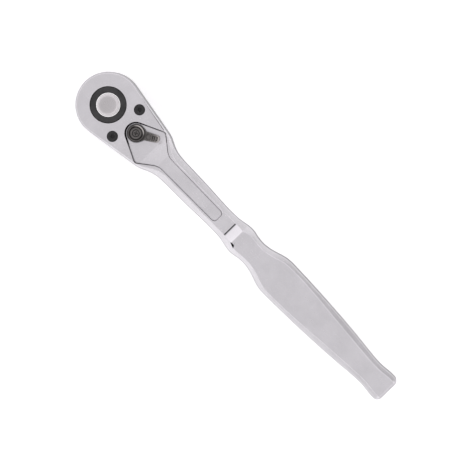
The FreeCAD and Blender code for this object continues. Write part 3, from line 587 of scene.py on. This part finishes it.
CHROME = chrome_finish("polished_chrome", 0.71, 0.24)
PLATE_FINISH = chrome_finish("cover_steel", 0.66, 0.30)
# the button's pinkish tint is a painted reflection
BUTTON_FINISH = chrome_finish("button_chrome", 0.58, 0.24, 0.02, (1.0, 0.965, 0.97), 0.15)
SCREW_FINISH = black_finish("black_oxide", 0.032, 0.42)
GEAR_FINISH = black_finish("gear_black", 0.044, 0.48)
BRIGHT = steel_finish("bright_steel", 0.72, 0.22)
RING_FINISH = steel_finish("snap_ring_steel", 0.95, 0.20)
WIRE_FINISH = steel_finish("spring_steel", 0.62, 0.28)
HARDENED = steel_finish("hardened_steel", 0.42, 0.34, (1.0, 0.98, 0.95))
GUNMETAL = gunmetal_finish("gunmetal", 0.36)
RUBBER = rubber_finish("seal_rubber")
FINISHES = {"polished_chrome": CHROME, "cover_steel": PLATE_FINISH, "button_chrome": BUTTON_FINISH,
            "black_oxide": SCREW_FINISH, "gear_black": GEAR_FINISH, "bright_steel": BRIGHT,
            "spring_steel": WIRE_FINISH, "hardened_steel": HARDENED, "gunmetal": GUNMETAL,
            "seal_rubber": RUBBER}


# --- the forging ----------------------------------------------------------------------


def bevel_depth(x, inset):
    """Depth of the long bevel for its width at x."""
    return inset * math.tan(math.radians(np.interp(x, *zip(*BEVEL_SLOPES))))


def head_inset(x):
    """Width of the head's bevel, which grows along its flanks."""
    share = min(1.0, max(0.0, (x - FLANK_START) / (JOIN_X - FLANK_START)))
    return HEAD_EDGE + (FLANK_EDGE - HEAD_EDGE) * share


def forging_sections():
    """The outline of the forging's +Y half, and (width of the bevel, its depth, half height) at
    each of its points."""
    wall = HEAD_RADIUS / math.cos(HEAD_TAPER) - JOIN_X * math.tan(HEAD_TAPER)
    rise = HEAD_TOP - MIDDLE
    nose_y = HEAD_RADIUS * math.tan((math.pi / 2 + HEAD_TAPER) / 2)
    outline = path([(-HEAD_RADIUS, 0), (-HEAD_RADIUS, nose_y, HEAD_RADIUS), (JOIN_X, wall, 0)], 2.0, 48)[:-1]
    insets = [head_inset(point[0]) for point in outline]
    fittings = [(inset, bevel_depth(point[0], inset), rise) for point, inset in zip(outline, insets)]
    root = (JOIN_X, wall, wall - FLANK_EDGE / math.cos(HEAD_TAPER), rise)
    sections = sections_along([root] + NECK, 1.0) + STEP + sections_along(HANDLE, 1.3)
    for index, (x, half, land, height) in enumerate(sections):
        before = sections[index - 1] if index else outline[-1]
        after = sections[min(index + 1, len(sections) - 1)]
        ahead = Vector((after[0] - before[0], after[1] - before[1])).normalized()
        inset = (half - land) * ahead.x
        outline.append((x, half, -ahead.y, ahead.x))
        fittings.append((inset, bevel_depth(x, inset), height))
    x, half, land, height = sections[-1]
    corner = path([(x, half), (TAIL_X, half, TAIL_X - x), (TAIL_X, 0, 0)], half, 12)[1:-1]
    for index, point in enumerate(corner, start=1):
        share = (index / len(corner)) ** 3
        inset = half - land + (TAIL_INSET - half + land) * share
        outline.append(point)
        fittings.append((inset, bevel_depth(x, inset), height))
    return outline, fittings


OUTLINE, FITTINGS = forging_sections()


def land_top(x):
    """Height of the forging's upper land at x."""
    start = next(k for k, point in enumerate(OUTLINE) if point[0] > 0)
    places = [point[0] for point in OUTLINE[start:]]
    return MIDDLE + float(np.interp(x, places, [fitting[2] for fitting in FITTINGS[start:]]))


def forging_wall(inset, bevel, rise):
    """(offset, z) up the wall: land, bevel, upright side, bevel and land, with rounded edges."""
    edge = min(SOFT_EDGE, math.hypot(inset, bevel))
    upper = rounded_profile([(0.0, 0.0, 0), (0.0, rise - bevel, edge), (-inset, rise, min(edge, CRISP_EDGE)),
                             (-inset - rise, rise, 0)])[1:-1]
    lower = [(out, -up) for out, up in reversed(upper)]
    return [(out, MIDDLE + up) for out, up in lower + [(0.0, 0.0)] + upper]


def pocket_tool():
    """Cuts the lever's pocket, its ramp and the long panel, with a rounded rim."""
    slope = math.tan(POCKET_SLOPE)
    nose_x = LEVER_X - POCKET_RADIUS
    nose_y = POCKET_RADIUS * math.tan((math.pi / 2 - POCKET_SLOPE) / 2)
    corner_y = POCKET_RADIUS / math.cos(POCKET_SLOPE) + (POCKET_CORNER_X - LEVER_X) * slope
    outline = path([(nose_x, 0), (nose_x, nose_y, POCKET_RADIUS), (POCKET_CORNER_X, corner_y, POCKET_CORNER),
                    (PANEL_X, PANEL_HALF, PANEL_BEND), (PANEL_END_X, PANEL_END_HALF, PANEL_CORNER),
                    (PANEL_END_X, PANEL_END_FLAT, 0)], 1.5, 14)
    outline = with_rungs(outline, (POCKET_RAMP_X, PANEL_X))
    return ladder("pocket_tool", outline, lambda index: pocket_wall(outline[index][0]))


def with_rungs(outline, places):
    """Add a point to the outline at each x in places."""
    for place in places:
        index = next(k for k in range(len(outline) - 1) if outline[k][0] <= place < outline[k + 1][0])
        before, after = outline[index], outline[index + 1]
        share = (place - before[0]) / (after[0] - before[0])
        outline.insert(index + 1, tuple(a + (b - a) * share for a, b in zip(before, after)))
    return outline


def floor_height(x):
    """Height of the pocket's floor, its ramp and the panel."""
    panel = land_top(max(x, PANEL_X)) - PANEL_DEPTH
    if x >= PANEL_X:
        return panel
    share = max(0.0, (x - POCKET_RAMP_X) / (PANEL_X - POCKET_RAMP_X))
    return POCKET_FLOOR + (panel - POCKET_FLOOR) * share


def pocket_wall(x):
    """(offset, z) up the pocket's or the panel's wall at x: rounded foot, leaning wall and rim."""
    floor, rim = floor_height(x), land_top(x)
    curve = min(FOOT, 0.35 * (rim - floor))
    bend = [(-LEAN - curve * (1 - math.sin(turn)), floor + curve * (1 - math.cos(turn)))
            for turn in (math.pi / 2 * k / ROUND_STEPS for k in range(ROUND_STEPS + 1))]
    return [*bend, (0.0, rim - LIP), (0.08, rim - 0.07), (LIP, rim + HAIR), (LIP + 0.2, rim + 0.12),
            (LIP + 0.2, rim + 3 * PAST)]


def low_panel_tool():
    """Cuts the matching panel in the drive side of the neck."""
    outline = path([(LOW_PANEL_X, 0), (LOW_PANEL_X, PANEL_HALF, PANEL_CORNER),
                    (PANEL_END_X, PANEL_END_HALF, PANEL_CORNER), (PANEL_END_X, PANEL_END_FLAT, 0)], 1.5)

    def wall(index):
        return [(out, 2 * MIDDLE - up) for out, up in reversed(pocket_wall(outline[index][0]))]

    return ladder("low_panel_tool", outline, wall)


def bore_tool(name, radius, low, hole, centre=(0.0, 0.0)):
    """Cuts a round bore down to low with a rounded rim in the head's upper face, and a hole
    (radius, low) below it."""
    hole_radius, hole_low = hole
    wide = radius + LIP
    return lathe(name, [(0.0, hole_low), (hole_radius, hole_low), (hole_radius, low), (radius, low),
                        (radius, HEAD_TOP - LIP), (radius + 0.07, HEAD_TOP - 0.08), (wide, HEAD_TOP + HAIR),
                        (wide + 0.2, HEAD_TOP + 0.12), (wide + 0.2, HEAD_TOP + PAST), (0.0, HEAD_TOP + PAST)],
                 centre=centre)


def plate_recess_tool():
    """Cuts the tear-drop seat of the cover plate, with a rounded rim."""
    radius = HEAD_RADIUS - PLATE_MARGIN
    end = PLATE_HIGH.x + PLATE_GAP
    side = radius / math.cos(HEAD_TAPER) - end * math.tan(HEAD_TAPER)
    nose_y = radius * math.tan((math.pi / 2 + HEAD_TAPER) / 2)
    outline = path([(-radius, 0), (-radius, nose_y, radius), (end, side, PLATE_CORNER),
                    (end, PANEL_END_FLAT, 0)], 2.0, 40)
    low = BODY_LOW.z
    wall = [(0.35, low - PAST), (0.35, low - HAIR), (0.12, low + 0.12), (0.0, low + 0.35),
            (0.0, PLATE_HIGH.z)]
    return ladder("plate_recess_tool", outline, lambda index: wall)


def mechanism_tools():
    """Cut the rooms for the gear, the pawl, the lever's shaft and the screws. Each has levels
    of its own, so that no two faces meet exactly."""
    low = PLATE_HIGH.z - 0.5
    pivot_low = CHAMBER_TOP - 0.3
    shaft_step = CHAMBER_TOP - 0.02
    seal_top = POCKET_FLOOR + 0.25
    tools = [
        lathe("chamber_tool", [(0.0, low), (CHAMBER_RADIUS, low), (CHAMBER_RADIUS, CHAMBER_TOP),
                               (0.0, CHAMBER_TOP)]),
        bore_tool("bearing_tool", BEARING_RADIUS, CHAMBER_TOP - 0.4,
                  (BEARING_RADIUS - BEARING_STEP, CHAMBER_TOP - 0.8)),
        prism("pawl_tool", PAWL_ROOM, low + 0.1, CHAMBER_TOP - 0.01),
        lathe("pawl_bearing_tool", [(0.0, pivot_low), (PIVOT_RADIUS, pivot_low), (PIVOT_RADIUS, PIVOT_TOP),
                                    (0.0, PIVOT_TOP)], 48, (PIVOT_X, 0.0)),
        lathe("shaft_tool", [(0.0, low + 0.05), (SHAFT_ROOM, low + 0.05), (SHAFT_ROOM, shaft_step),
                             (SHAFT_RADIUS, shaft_step), (SHAFT_RADIUS, SEAL_LOW), (SEAL_RADIUS, SEAL_LOW),
                             (SEAL_RADIUS, seal_top), (0.0, seal_top)], 72, (LEVER_X, 0.0)),
    ]
    hole = (SCREW_HOLE, low + 0.15)
    for number, place in enumerate(SCREWS):
        tools.append(bore_tool(f"screw_tool_{number}", SCREW_BORE, SCREW_SEAT, hole, place))
    return tools


def mark_tools():
    """Cut the groove on both sides, the fine line along the head's flank, and the hollow."""
    tools = []
    start, end, half, depth = GROOVE
    outline = [(start, -half), (end, -half), (end, half), (start, half)]
    for side in (1, -1):
        face = MIDDLE + side * (land_top(start) - MIDDLE)
        levels = sorted((face - side * depth, face + side * PAST))
        tools.append(prism("groove_tool", outline, *levels))
    start, (end_x, end_y), half, depth = WITNESS
    tools.append(prism("witness_tool", [start, (end_x, end_y - half), (end_x, end_y + half)],
                       HEAD_TOP - depth, HEAD_TOP + PAST))
    lid = [(x, y, HEAD_TOP) for x, y, depth in HOLLOW]
    floor = [(x, y, land_top(x) - depth) for x, y, depth in HOLLOW]
    sides = [(1, 4, 3, 0), (2, 5, 4, 1), (0, 3, 5, 2)]
    tools.append(make_mesh("hollow_tool", lid + floor, [(2, 1, 0), (3, 4, 5), *sides]))
    return tools


def forging():
    """Head, neck and handle in one piece, hollowed for the mechanism."""
    solid = ladder("forged_body", OUTLINE, lambda index: forging_wall(*FITTINGS[index]))
    carve(solid, [pocket_tool(), low_panel_tool(), plate_recess_tool(), *mechanism_tools(), *mark_tools()])
    finish_piece(solid, CHROME, "wrench", ["wrench_body"])


# --- springs, screws, button and lever --------------------------------------------------

LEVER_ANGLE = math.radians(30.0)
LEVER_PLACE = Matrix.Translation((LEVER_X * MM, 0, 0)) @ Matrix.Rotation(LEVER_ANGLE, 4, "Z")

BUTTON_COIL = (0.5, 5.0)  # radius of the wire, and turns
PLUNGER_COIL = (0.2, 4.0)
PLUNGER_COIL_ENDS = (-0.6, 2.2)  # along the lever from its axis


def bar(name, half_length, half_width, low, high):
    """An upright block centred on the Z axis."""
    return prism(name, [(-half_length, -half_width), (half_length, -half_width), (half_length, half_width),
                        (-half_length, half_width)], low, high)


def hexagon(across, low, high, centre):
    """An upright six-sided block that cuts a socket this far across its flats."""
    radius = across / 2 / math.cos(math.pi / 6)
    turns = [math.pi / 3 * k for k in range(6)]
    corners = [(centre[0] + radius * math.cos(turn), centre[1] + radius * math.sin(turn)) for turn in turns]
    return prism("socket_tool", corners, low, high)


def coil(name, radius, wire, turns, length):
    """A coil spring up the Z axis from 0. radius is to the middle of the wire, and wire is the
    wire's own radius."""
    sides, steps = 12, int(36 * turns)
    rise = (length - 2 * wire) / steps
    slope = rise * steps / turns / (2 * math.pi * radius)
    points, faces = [], []
    for step in range(steps + 1):
        angle = 2 * math.pi * turns * step / steps
        out = Vector((math.cos(angle), math.sin(angle), 0))
        along = Vector((-math.sin(angle), math.cos(angle), slope)).normalized()
        up = along.cross(out)
        centre = out * radius + Vector((0, 0, wire + rise * step))
        for side in range(sides):
            turn = 2 * math.pi * side / sides
            points.append(centre + (out * math.cos(turn) - up * math.sin(turn)) * wire)
    for step in range(steps):
        for side in range(sides):
            a, b = step * sides + side, step * sides + (side + 1) % sides
            faces.append((a, b, b + sides, a + sides))
    faces += [tuple(range(sides))[::-1], tuple(range(steps * sides, steps * sides + sides))]
    return make_mesh(name, points, faces)


def springs():
    """The springs under the button and behind the plunger, each on the body of the part that it pushes."""
    low, high = box_mm("release_spring")
    wire, turns = BUTTON_COIL
    length = high.z - low.z
    button = coil("button_coil", high.x - wire, wire, turns, length)
    button.data.transform(Matrix.Translation((0, 0, low.z * MM)))
    finish_piece(button, WIRE_FINISH, "release", ["release_spring"], 50.0)
    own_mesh(button)
    low, high = box_mm("plunger_spring")
    wire, turns = PLUNGER_COIL
    front, back = PLUNGER_COIL_ENDS
    length = back - front
    plunger = coil("plunger_coil", (high.z - low.z) / 2 - wire, wire, turns, length)
    lie = (Matrix.Rotation(LEVER_ANGLE, 4, "Z") @ Matrix.Translation((front * MM, 0, 0))
           @ Matrix.Rotation(math.pi / 2, 4, "Y"))
    middle = Matrix.Translation((LEVER_X * MM, 0, (high.z + low.z) / 2 * MM))
    plunger.data.transform(middle @ lie)
    finish_piece(plunger, WIRE_FINISH, "plunger", ["plunger_spring"], 50.0)
    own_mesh(plunger)


def cover_screws():
    """Two socket screws with a shallow dish round the socket, as one piece."""
    made = []
    low, top = SCREW_LOW.z, SCREW_HIGH.z
    dish = top - 0.18
    outline = rounded_profile([
        (0.0, low, 0), (SCREW_SHANK - 0.4, low, 0), (SCREW_SHANK, low + 0.4, 0),
        (SCREW_SHANK, SCREW_SEAT, 0), (SCREW_HEAD, SCREW_SEAT, 0.1), (SCREW_HEAD, top, 0.38),
        (1.75, top, 0), (1.62, dish, 0), (0.0, dish, 0)])
    for number, centre in enumerate(SCREWS):
        screw = lathe(f"screw_{number}", outline, 64, centre)
        carve(screw, [hexagon(SOCKET_ACROSS, top - SOCKET_DEPTH, top + PAST, centre)])
        made.append(screw)
    with bpy.context.temp_override(active_object=made[0], selected_editable_objects=made):
        bpy.ops.object.join()
    made[0].name = "socket_screws"
    finish_piece(made[0], SCREW_FINISH, "wrench", ["cover_screws"], 35.0)


def push_button():
    """Button with a flange below, a conical rim and a dished top, hollow below for the stem."""
    top, low = BUTTON_HIGH.z, BUTTON_LOW.z
    stem, stem_top = 2.15, low + 2.0
    flange, flange_top = 7.0, 15.25
    rim, dish_edge, dish_depth, dish_steps = 6.4, 5.6, 0.7, 14
    outer = rounded_profile([
        (0.0, stem_top, 0), (stem, stem_top, 0), (stem, low, 0), (flange, low, 0.15),
        (flange, flange_top, 0.15), (rim, flange_top, 0), (rim, top - 0.3, 0.08),
        (dish_edge + 0.1, top, 0.1), (dish_edge, top, 0)])
    turns = [math.pi / 2 * k / dish_steps for k in range(1, dish_steps + 1)]
    dish = [(dish_edge * math.cos(turn), top - dish_depth * math.sin(turn) ** 1.2) for turn in turns]
    button = lathe("push_button", outer + dish)
    finish_piece(button, BUTTON_FINISH, "release", ["release_button"], 50.0)


def snap_ring():
    """Bright ring round the button: a spring ring with an upstanding lip and a narrow gap."""
    low, shoulder, outer = RING_LOW.z, RING_HIGH.z, RING_HIGH.x
    inner, lip, half_gap = outer - 1.05, outer - 0.3, 0.12
    ring = lathe("snap_ring", rounded_profile([
        (inner, low, 0.1), (outer, low, 0.1), (outer, shoulder, 0.1), (lip, shoulder, 0),
        (lip, shoulder + 0.65, 0.08), (inner, shoulder + 0.92, 0.1)]))
    start, end = -outer - PAST, -inner + PAST
    gap = [(start, -half_gap), (end, -half_gap), (end, half_gap), (start, half_gap)]
    carve(ring, [prism("gap_tool", gap, low - PAST, HEAD_TOP + PAST)])
    finish_piece(ring, RING_FINISH, "drive", ["button_snap_ring"], 50.0)


# the lever, about its own axis and along +X
HUB_RADIUS = 5.15
ARM_ROOT = (5.5, 2.65)  # where the hub's flank meets the arm's, before the fillet
ARM_FILLET = 2.2
ARM_REACH = 14.1
ARM_TIP = 2.05  # half width of the arm's end
ARM_RAISED = 0.85  # from the hub's underside to the arm's
RIDGE_TOP = LEVER_HIGH.z
HUB_TOP = RIDGE_TOP - 0.05
ARM_TOP = HUB_TOP - 0.25
HUB_GROOVE = (3.15, 4.25, 0.45)  # inner and outer radius, and depth
TENON_HALF = 1.5
SCREW_RECESS = 2.2  # radius of the hole for the hub's screw
SCREW_FLOOR = 16.6
SUNK_TOP = ((6.2, 1.75), (13.0, 1.3))  # (x, half width) of the two ends of the arm's sunk top
RIDGE_START = 9.4
RIDGE_SPACING = 1.2


def hub_share(x):
    """0 over the hub and 1 over the arm, with a smooth change between."""
    share = min(1.0, max(0.0, (x - 3.6) / 2.4))
    return share * share * (3 - 2 * share)


def lever():
    """Hub with a turned groove, and a waisted arm with a sunk top and grip ridges."""
    low = LEVER_LOW.z
    tangent = math.atan2(ARM_ROOT[1], ARM_ROOT[0]) + math.acos(HUB_RADIUS / math.hypot(*ARM_ROOT))
    nose_y = HUB_RADIUS * math.tan((math.pi - tangent) / 2)
    outline = path([(-HUB_RADIUS, 0), (-HUB_RADIUS, nose_y, HUB_RADIUS), (*ARM_ROOT, ARM_FILLET),
                    (ARM_REACH, ARM_TIP, ARM_TIP * 0.9), (ARM_REACH, 0, 0)], 0.6, 26)

    def wall(index):
        share = hub_share(outline[index][0])
        bottom, roof = low + ARM_RAISED * share, HUB_TOP + (ARM_TOP - HUB_TOP) * share
        return [(-0.25, bottom), (-0.06, bottom + 0.06), (0.0, bottom + 0.25), (0.0, roof - 0.55),
                (-0.06, roof - 0.28), (-0.2, roof - 0.09), (-0.45, roof)]

    blank = ladder("cast_lever", outline, wall)
    inner, outer, depth = HUB_GROOVE
    groove = lathe("groove_tool", [(inner - 0.15, HUB_TOP + PAST), (inner, HUB_TOP + HAIR),
                                   ((inner + outer) / 2, HUB_TOP - depth), (outer, HUB_TOP + HAIR),
                                   (outer + 0.15, HUB_TOP + PAST)], 72)
    seat = lathe("seat_tool", [(0.0, low - PAST), (1.1, low - PAST), (1.1, SCREW_FLOOR),
                               (SCREW_RECESS, SCREW_FLOOR), (SCREW_RECESS, HUB_TOP - 0.15),
                               (SCREW_RECESS + 0.15, HUB_TOP + HAIR), (SCREW_RECESS + 0.4, HUB_TOP + PAST),
                               (0.0, HUB_TOP + PAST)], 48)
    socket = bar("socket_tool", TENON_HALF, TENON_HALF, low - PAST, SCREW_FLOOR + 0.05)
    carve(blank, [groove, seat, socket, sunk_top_tool()])
    carve(blank, [grip_ridge(RIDGE_START + RIDGE_SPACING * number) for number in range(3)], "UNION")
    blank.data.transform(LEVER_PLACE)
    finish_piece(blank, GUNMETAL, "reverser", ["reversing_lever"], 38.0)


def sunk_top_tool():
    """Cuts the shallow well in the top of the lever's arm."""
    (start, start_half), (end, end_half) = SUNK_TOP
    outline = path([(start, 0), (start, start_half, 0.8), (end, end_half, 0.8), (end, 0, 0)], 0.6, 8)
    return ladder("recess_tool", outline, lambda index: [
        (-0.15, ARM_TOP - 0.66), (0.0, ARM_TOP - 0.5), (0.06, ARM_TOP - 0.05), (0.16, ARM_TOP + HAIR),
        (0.25, ARM_TOP + PAST)])


def grip_ridge(x):
    """A rounded bar across the sunk top of the arm."""
    half, radius, steps = 1.75, 0.3, 8
    low, shoulder = ARM_TOP - 0.7, ARM_TOP - 0.3
    crest = RIDGE_TOP - shoulder
    section = [(x + radius, low)]
    turns = [math.pi * k / steps for k in range(steps + 1)]
    section += [(x + radius * math.cos(turn), shoulder + crest * math.sin(turn)) for turn in turns]
    section.append((x - radius, low))
    count = len(section)
    points = [(along, side, up) for side in (-half, half) for along, up in section]
    faces = [tuple(range(count)), tuple(range(count, 2 * count))[::-1]]
    faces += [(k, k + count, (k + 1) % count + count, (k + 1) % count) for k in range(count)]
    return make_mesh("ridge_tool", points, faces)


def hub_screw():
    """Cross-recessed screw in the middle of the lever's hub."""
    top, low = LEVER_SCREW_HIGH.z, LEVER_SCREW_LOW.z
    shank, head = 1.0, 2.0
    arm_length, arm_width, cross_low = 1.25, 0.27, top - 0.75
    screw = lathe("hub_screw", rounded_profile([
        (0.0, low, 0), (shank - 0.2, low, 0), (shank, low + 0.3, 0), (shank, SCREW_FLOOR, 0),
        (head, SCREW_FLOOR, 0.1), (head, top - 0.25, 0.3), (1.2, top, 0.6), (0.0, top + 0.02, 0)]), 48)
    carve(screw, [bar("cross_tool", arm_length, arm_width, cross_low, top + PAST),
                  bar("cross_tool", arm_width, arm_length, cross_low, top + PAST)])
    screw.data.transform(LEVER_PLACE)
    finish_piece(screw, GUNMETAL, "reverser", ["lever_screw"], 35.0)


def dress_cad():
    """Give each CAD node that still shows the finish of its slot."""
    for subpart in frame["record"]["subparts"]:
        node = frame["nodes"][subpart["node"]]
        finish = FINISHES[subpart["material_slot"]]
        node.data.materials.clear()
        node.data.materials.append(finish)


# --- floor, light and camera --------------------------------------------------------------

FLOOR_HALF = 8.0
FLOOR_DROP = 0.0002  # below the tool's lowest point
TOOL_MIDDLE = 0.107  # x
BRIGHT_REACH = (0.15, 0.62)  # distances from the tool over which the painted pool of light on the floor fades
BRIGHT_GLOW = 0.28
NEAR_FLOOR = (grey(0.90), grey(0.93))
FAR_FLOOR = (grey(0.35), grey(0.46))  # painted shade far from the tool, on the -Y side and on the +Y side
ROOM_SLANT = (-0.05, -0.03, 0.0)  # the room is brighter towards the head and the -Y side
# (height, level): how bright the room is, from the horizon (0) to overhead (1)
ROOM_LEVELS = ((0.0, 0.50), (0.12, 0.54), (0.28, 1.00), (0.5, 1.38), (0.76, 1.26), (0.9, 0.83), (1.0, 0.80))


def stage_floor():
    """A pale floor: a painted pool of light and a glow round the tool, painted shade far away, where the
    tool's bevels mirror it.
    """
    level = cad_box[0].z - FLOOR_DROP
    half = FLOOR_HALF
    mesh = bpy.data.meshes.new("floor")
    mesh.from_pydata([(-half, -half, level), (half, -half, level), (half, half, level), (-half, half, level)],
                     [], [(0, 1, 2, 3)])
    floor = bpy.data.objects.new("floor", mesh)
    bpy.context.scene.collection.objects.link(floor)
    nodes = Nodes("floor_paint")
    cloud = nodes.noise(6.0, 3.0)
    from_tool = nodes.add("ShaderNodeVectorMath", {0: nodes.place, 1: (TOOL_MIDDLE, 0.0, level)},
                          operation="DISTANCE")
    # painted pool of light round the tool, fading with distance
    light_pool = nodes.spread(from_tool.outputs["Value"], 1.0, 0.0, *BRIGHT_REACH, "SMOOTHSTEP")
    split = nodes.add("ShaderNodeSeparateXYZ", {0: nodes.place})
    side = nodes.spread(split.outputs["Y"], 0.0, 1.0, -0.5, 0.5)
    far_colour = nodes.blend(side, *FAR_FLOOR)
    near_colour = nodes.blend(nodes.spread(cloud, 0.0, 1.0), *NEAR_FLOOR)
    colour = nodes.blend(light_pool, far_colour, near_colour)
    # the floor glows round the tool: painted light
    glow = nodes.spread(light_pool, 0.0, BRIGHT_GLOW, 0.0, 1.0)
    mesh.materials.append(nodes.dress(colour, nodes.spread(cloud, 0.75, 0.85), 0.0,
                                      Emission_Color=grey(1.0), Emission_Strength=glow))


def studio():
    """A pale room: brightest half way up, calmer overhead and dim towards the horizon."""
    world = bpy.data.worlds.new("studio")
    bpy.context.scene.world = world
    world.use_nodes = True
    tree = world.node_tree
    tree.nodes.clear()
    place = tree.nodes.new("ShaderNodeTexCoord")
    split = tree.nodes.new("ShaderNodeSeparateXYZ")
    ramp = tree.nodes.new("ShaderNodeValToRGB")
    side = tree.nodes.new("ShaderNodeVectorMath")
    light = tree.nodes.new("ShaderNodeBackground")
    output = tree.nodes.new("ShaderNodeOutputWorld")
    tree.links.new(place.outputs["Generated"], split.inputs[0])
    tree.links.new(split.outputs["Z"], ramp.inputs["Fac"])
    side.operation = "DOT_PRODUCT"
    side.inputs[1].default_value = ROOM_SLANT
    tree.links.new(place.outputs["Generated"], side.inputs[0])
    strength = tree.nodes.new("ShaderNodeMath")
    strength.operation = "ADD"
    strength.inputs[1].default_value = 1.0
    tree.links.new(side.outputs["Value"], strength.inputs[0])
    tree.links.new(strength.outputs["Value"], light.inputs["Strength"])
    tree.links.new(ramp.outputs["Color"], light.inputs["Color"])
    tree.links.new(light.outputs["Background"], output.inputs["Surface"])
    fill_ramp(ramp.color_ramp, [(height, grey(level, COOL)) for height, level in ROOM_LEVELS])


def camera():
    """Almost straight down on the lever side, the handle running to the lower right."""
    lens = 250.0
    width = 0.2730  # of what the picture shows at the target
    roll, tilt = math.radians(45.74), math.radians(3.5)
    target = Vector((0.1063, 0.0, 0.0165))
    turn = Matrix.Rotation(-tilt, 4, "X") @ Matrix.Rotation(roll, 4, "Z")
    data = bpy.data.cameras.new("camera")
    data.lens = lens
    distance = width * lens / data.sensor_width
    holder = bpy.data.objects.new("camera", data)
    bpy.context.scene.collection.objects.link(holder)
    holder.matrix_world = Matrix.Translation(target) @ turn @ Matrix.Translation((0, 0, distance))
    bpy.context.scene.camera = holder


camera()
studio()
stage_floor()
dress_cad()
forging()
springs()
cover_screws()
push_button()
snap_ring()
lever()
hub_screw()
bpy.context.scene.view_settings.view_transform = "Standard"
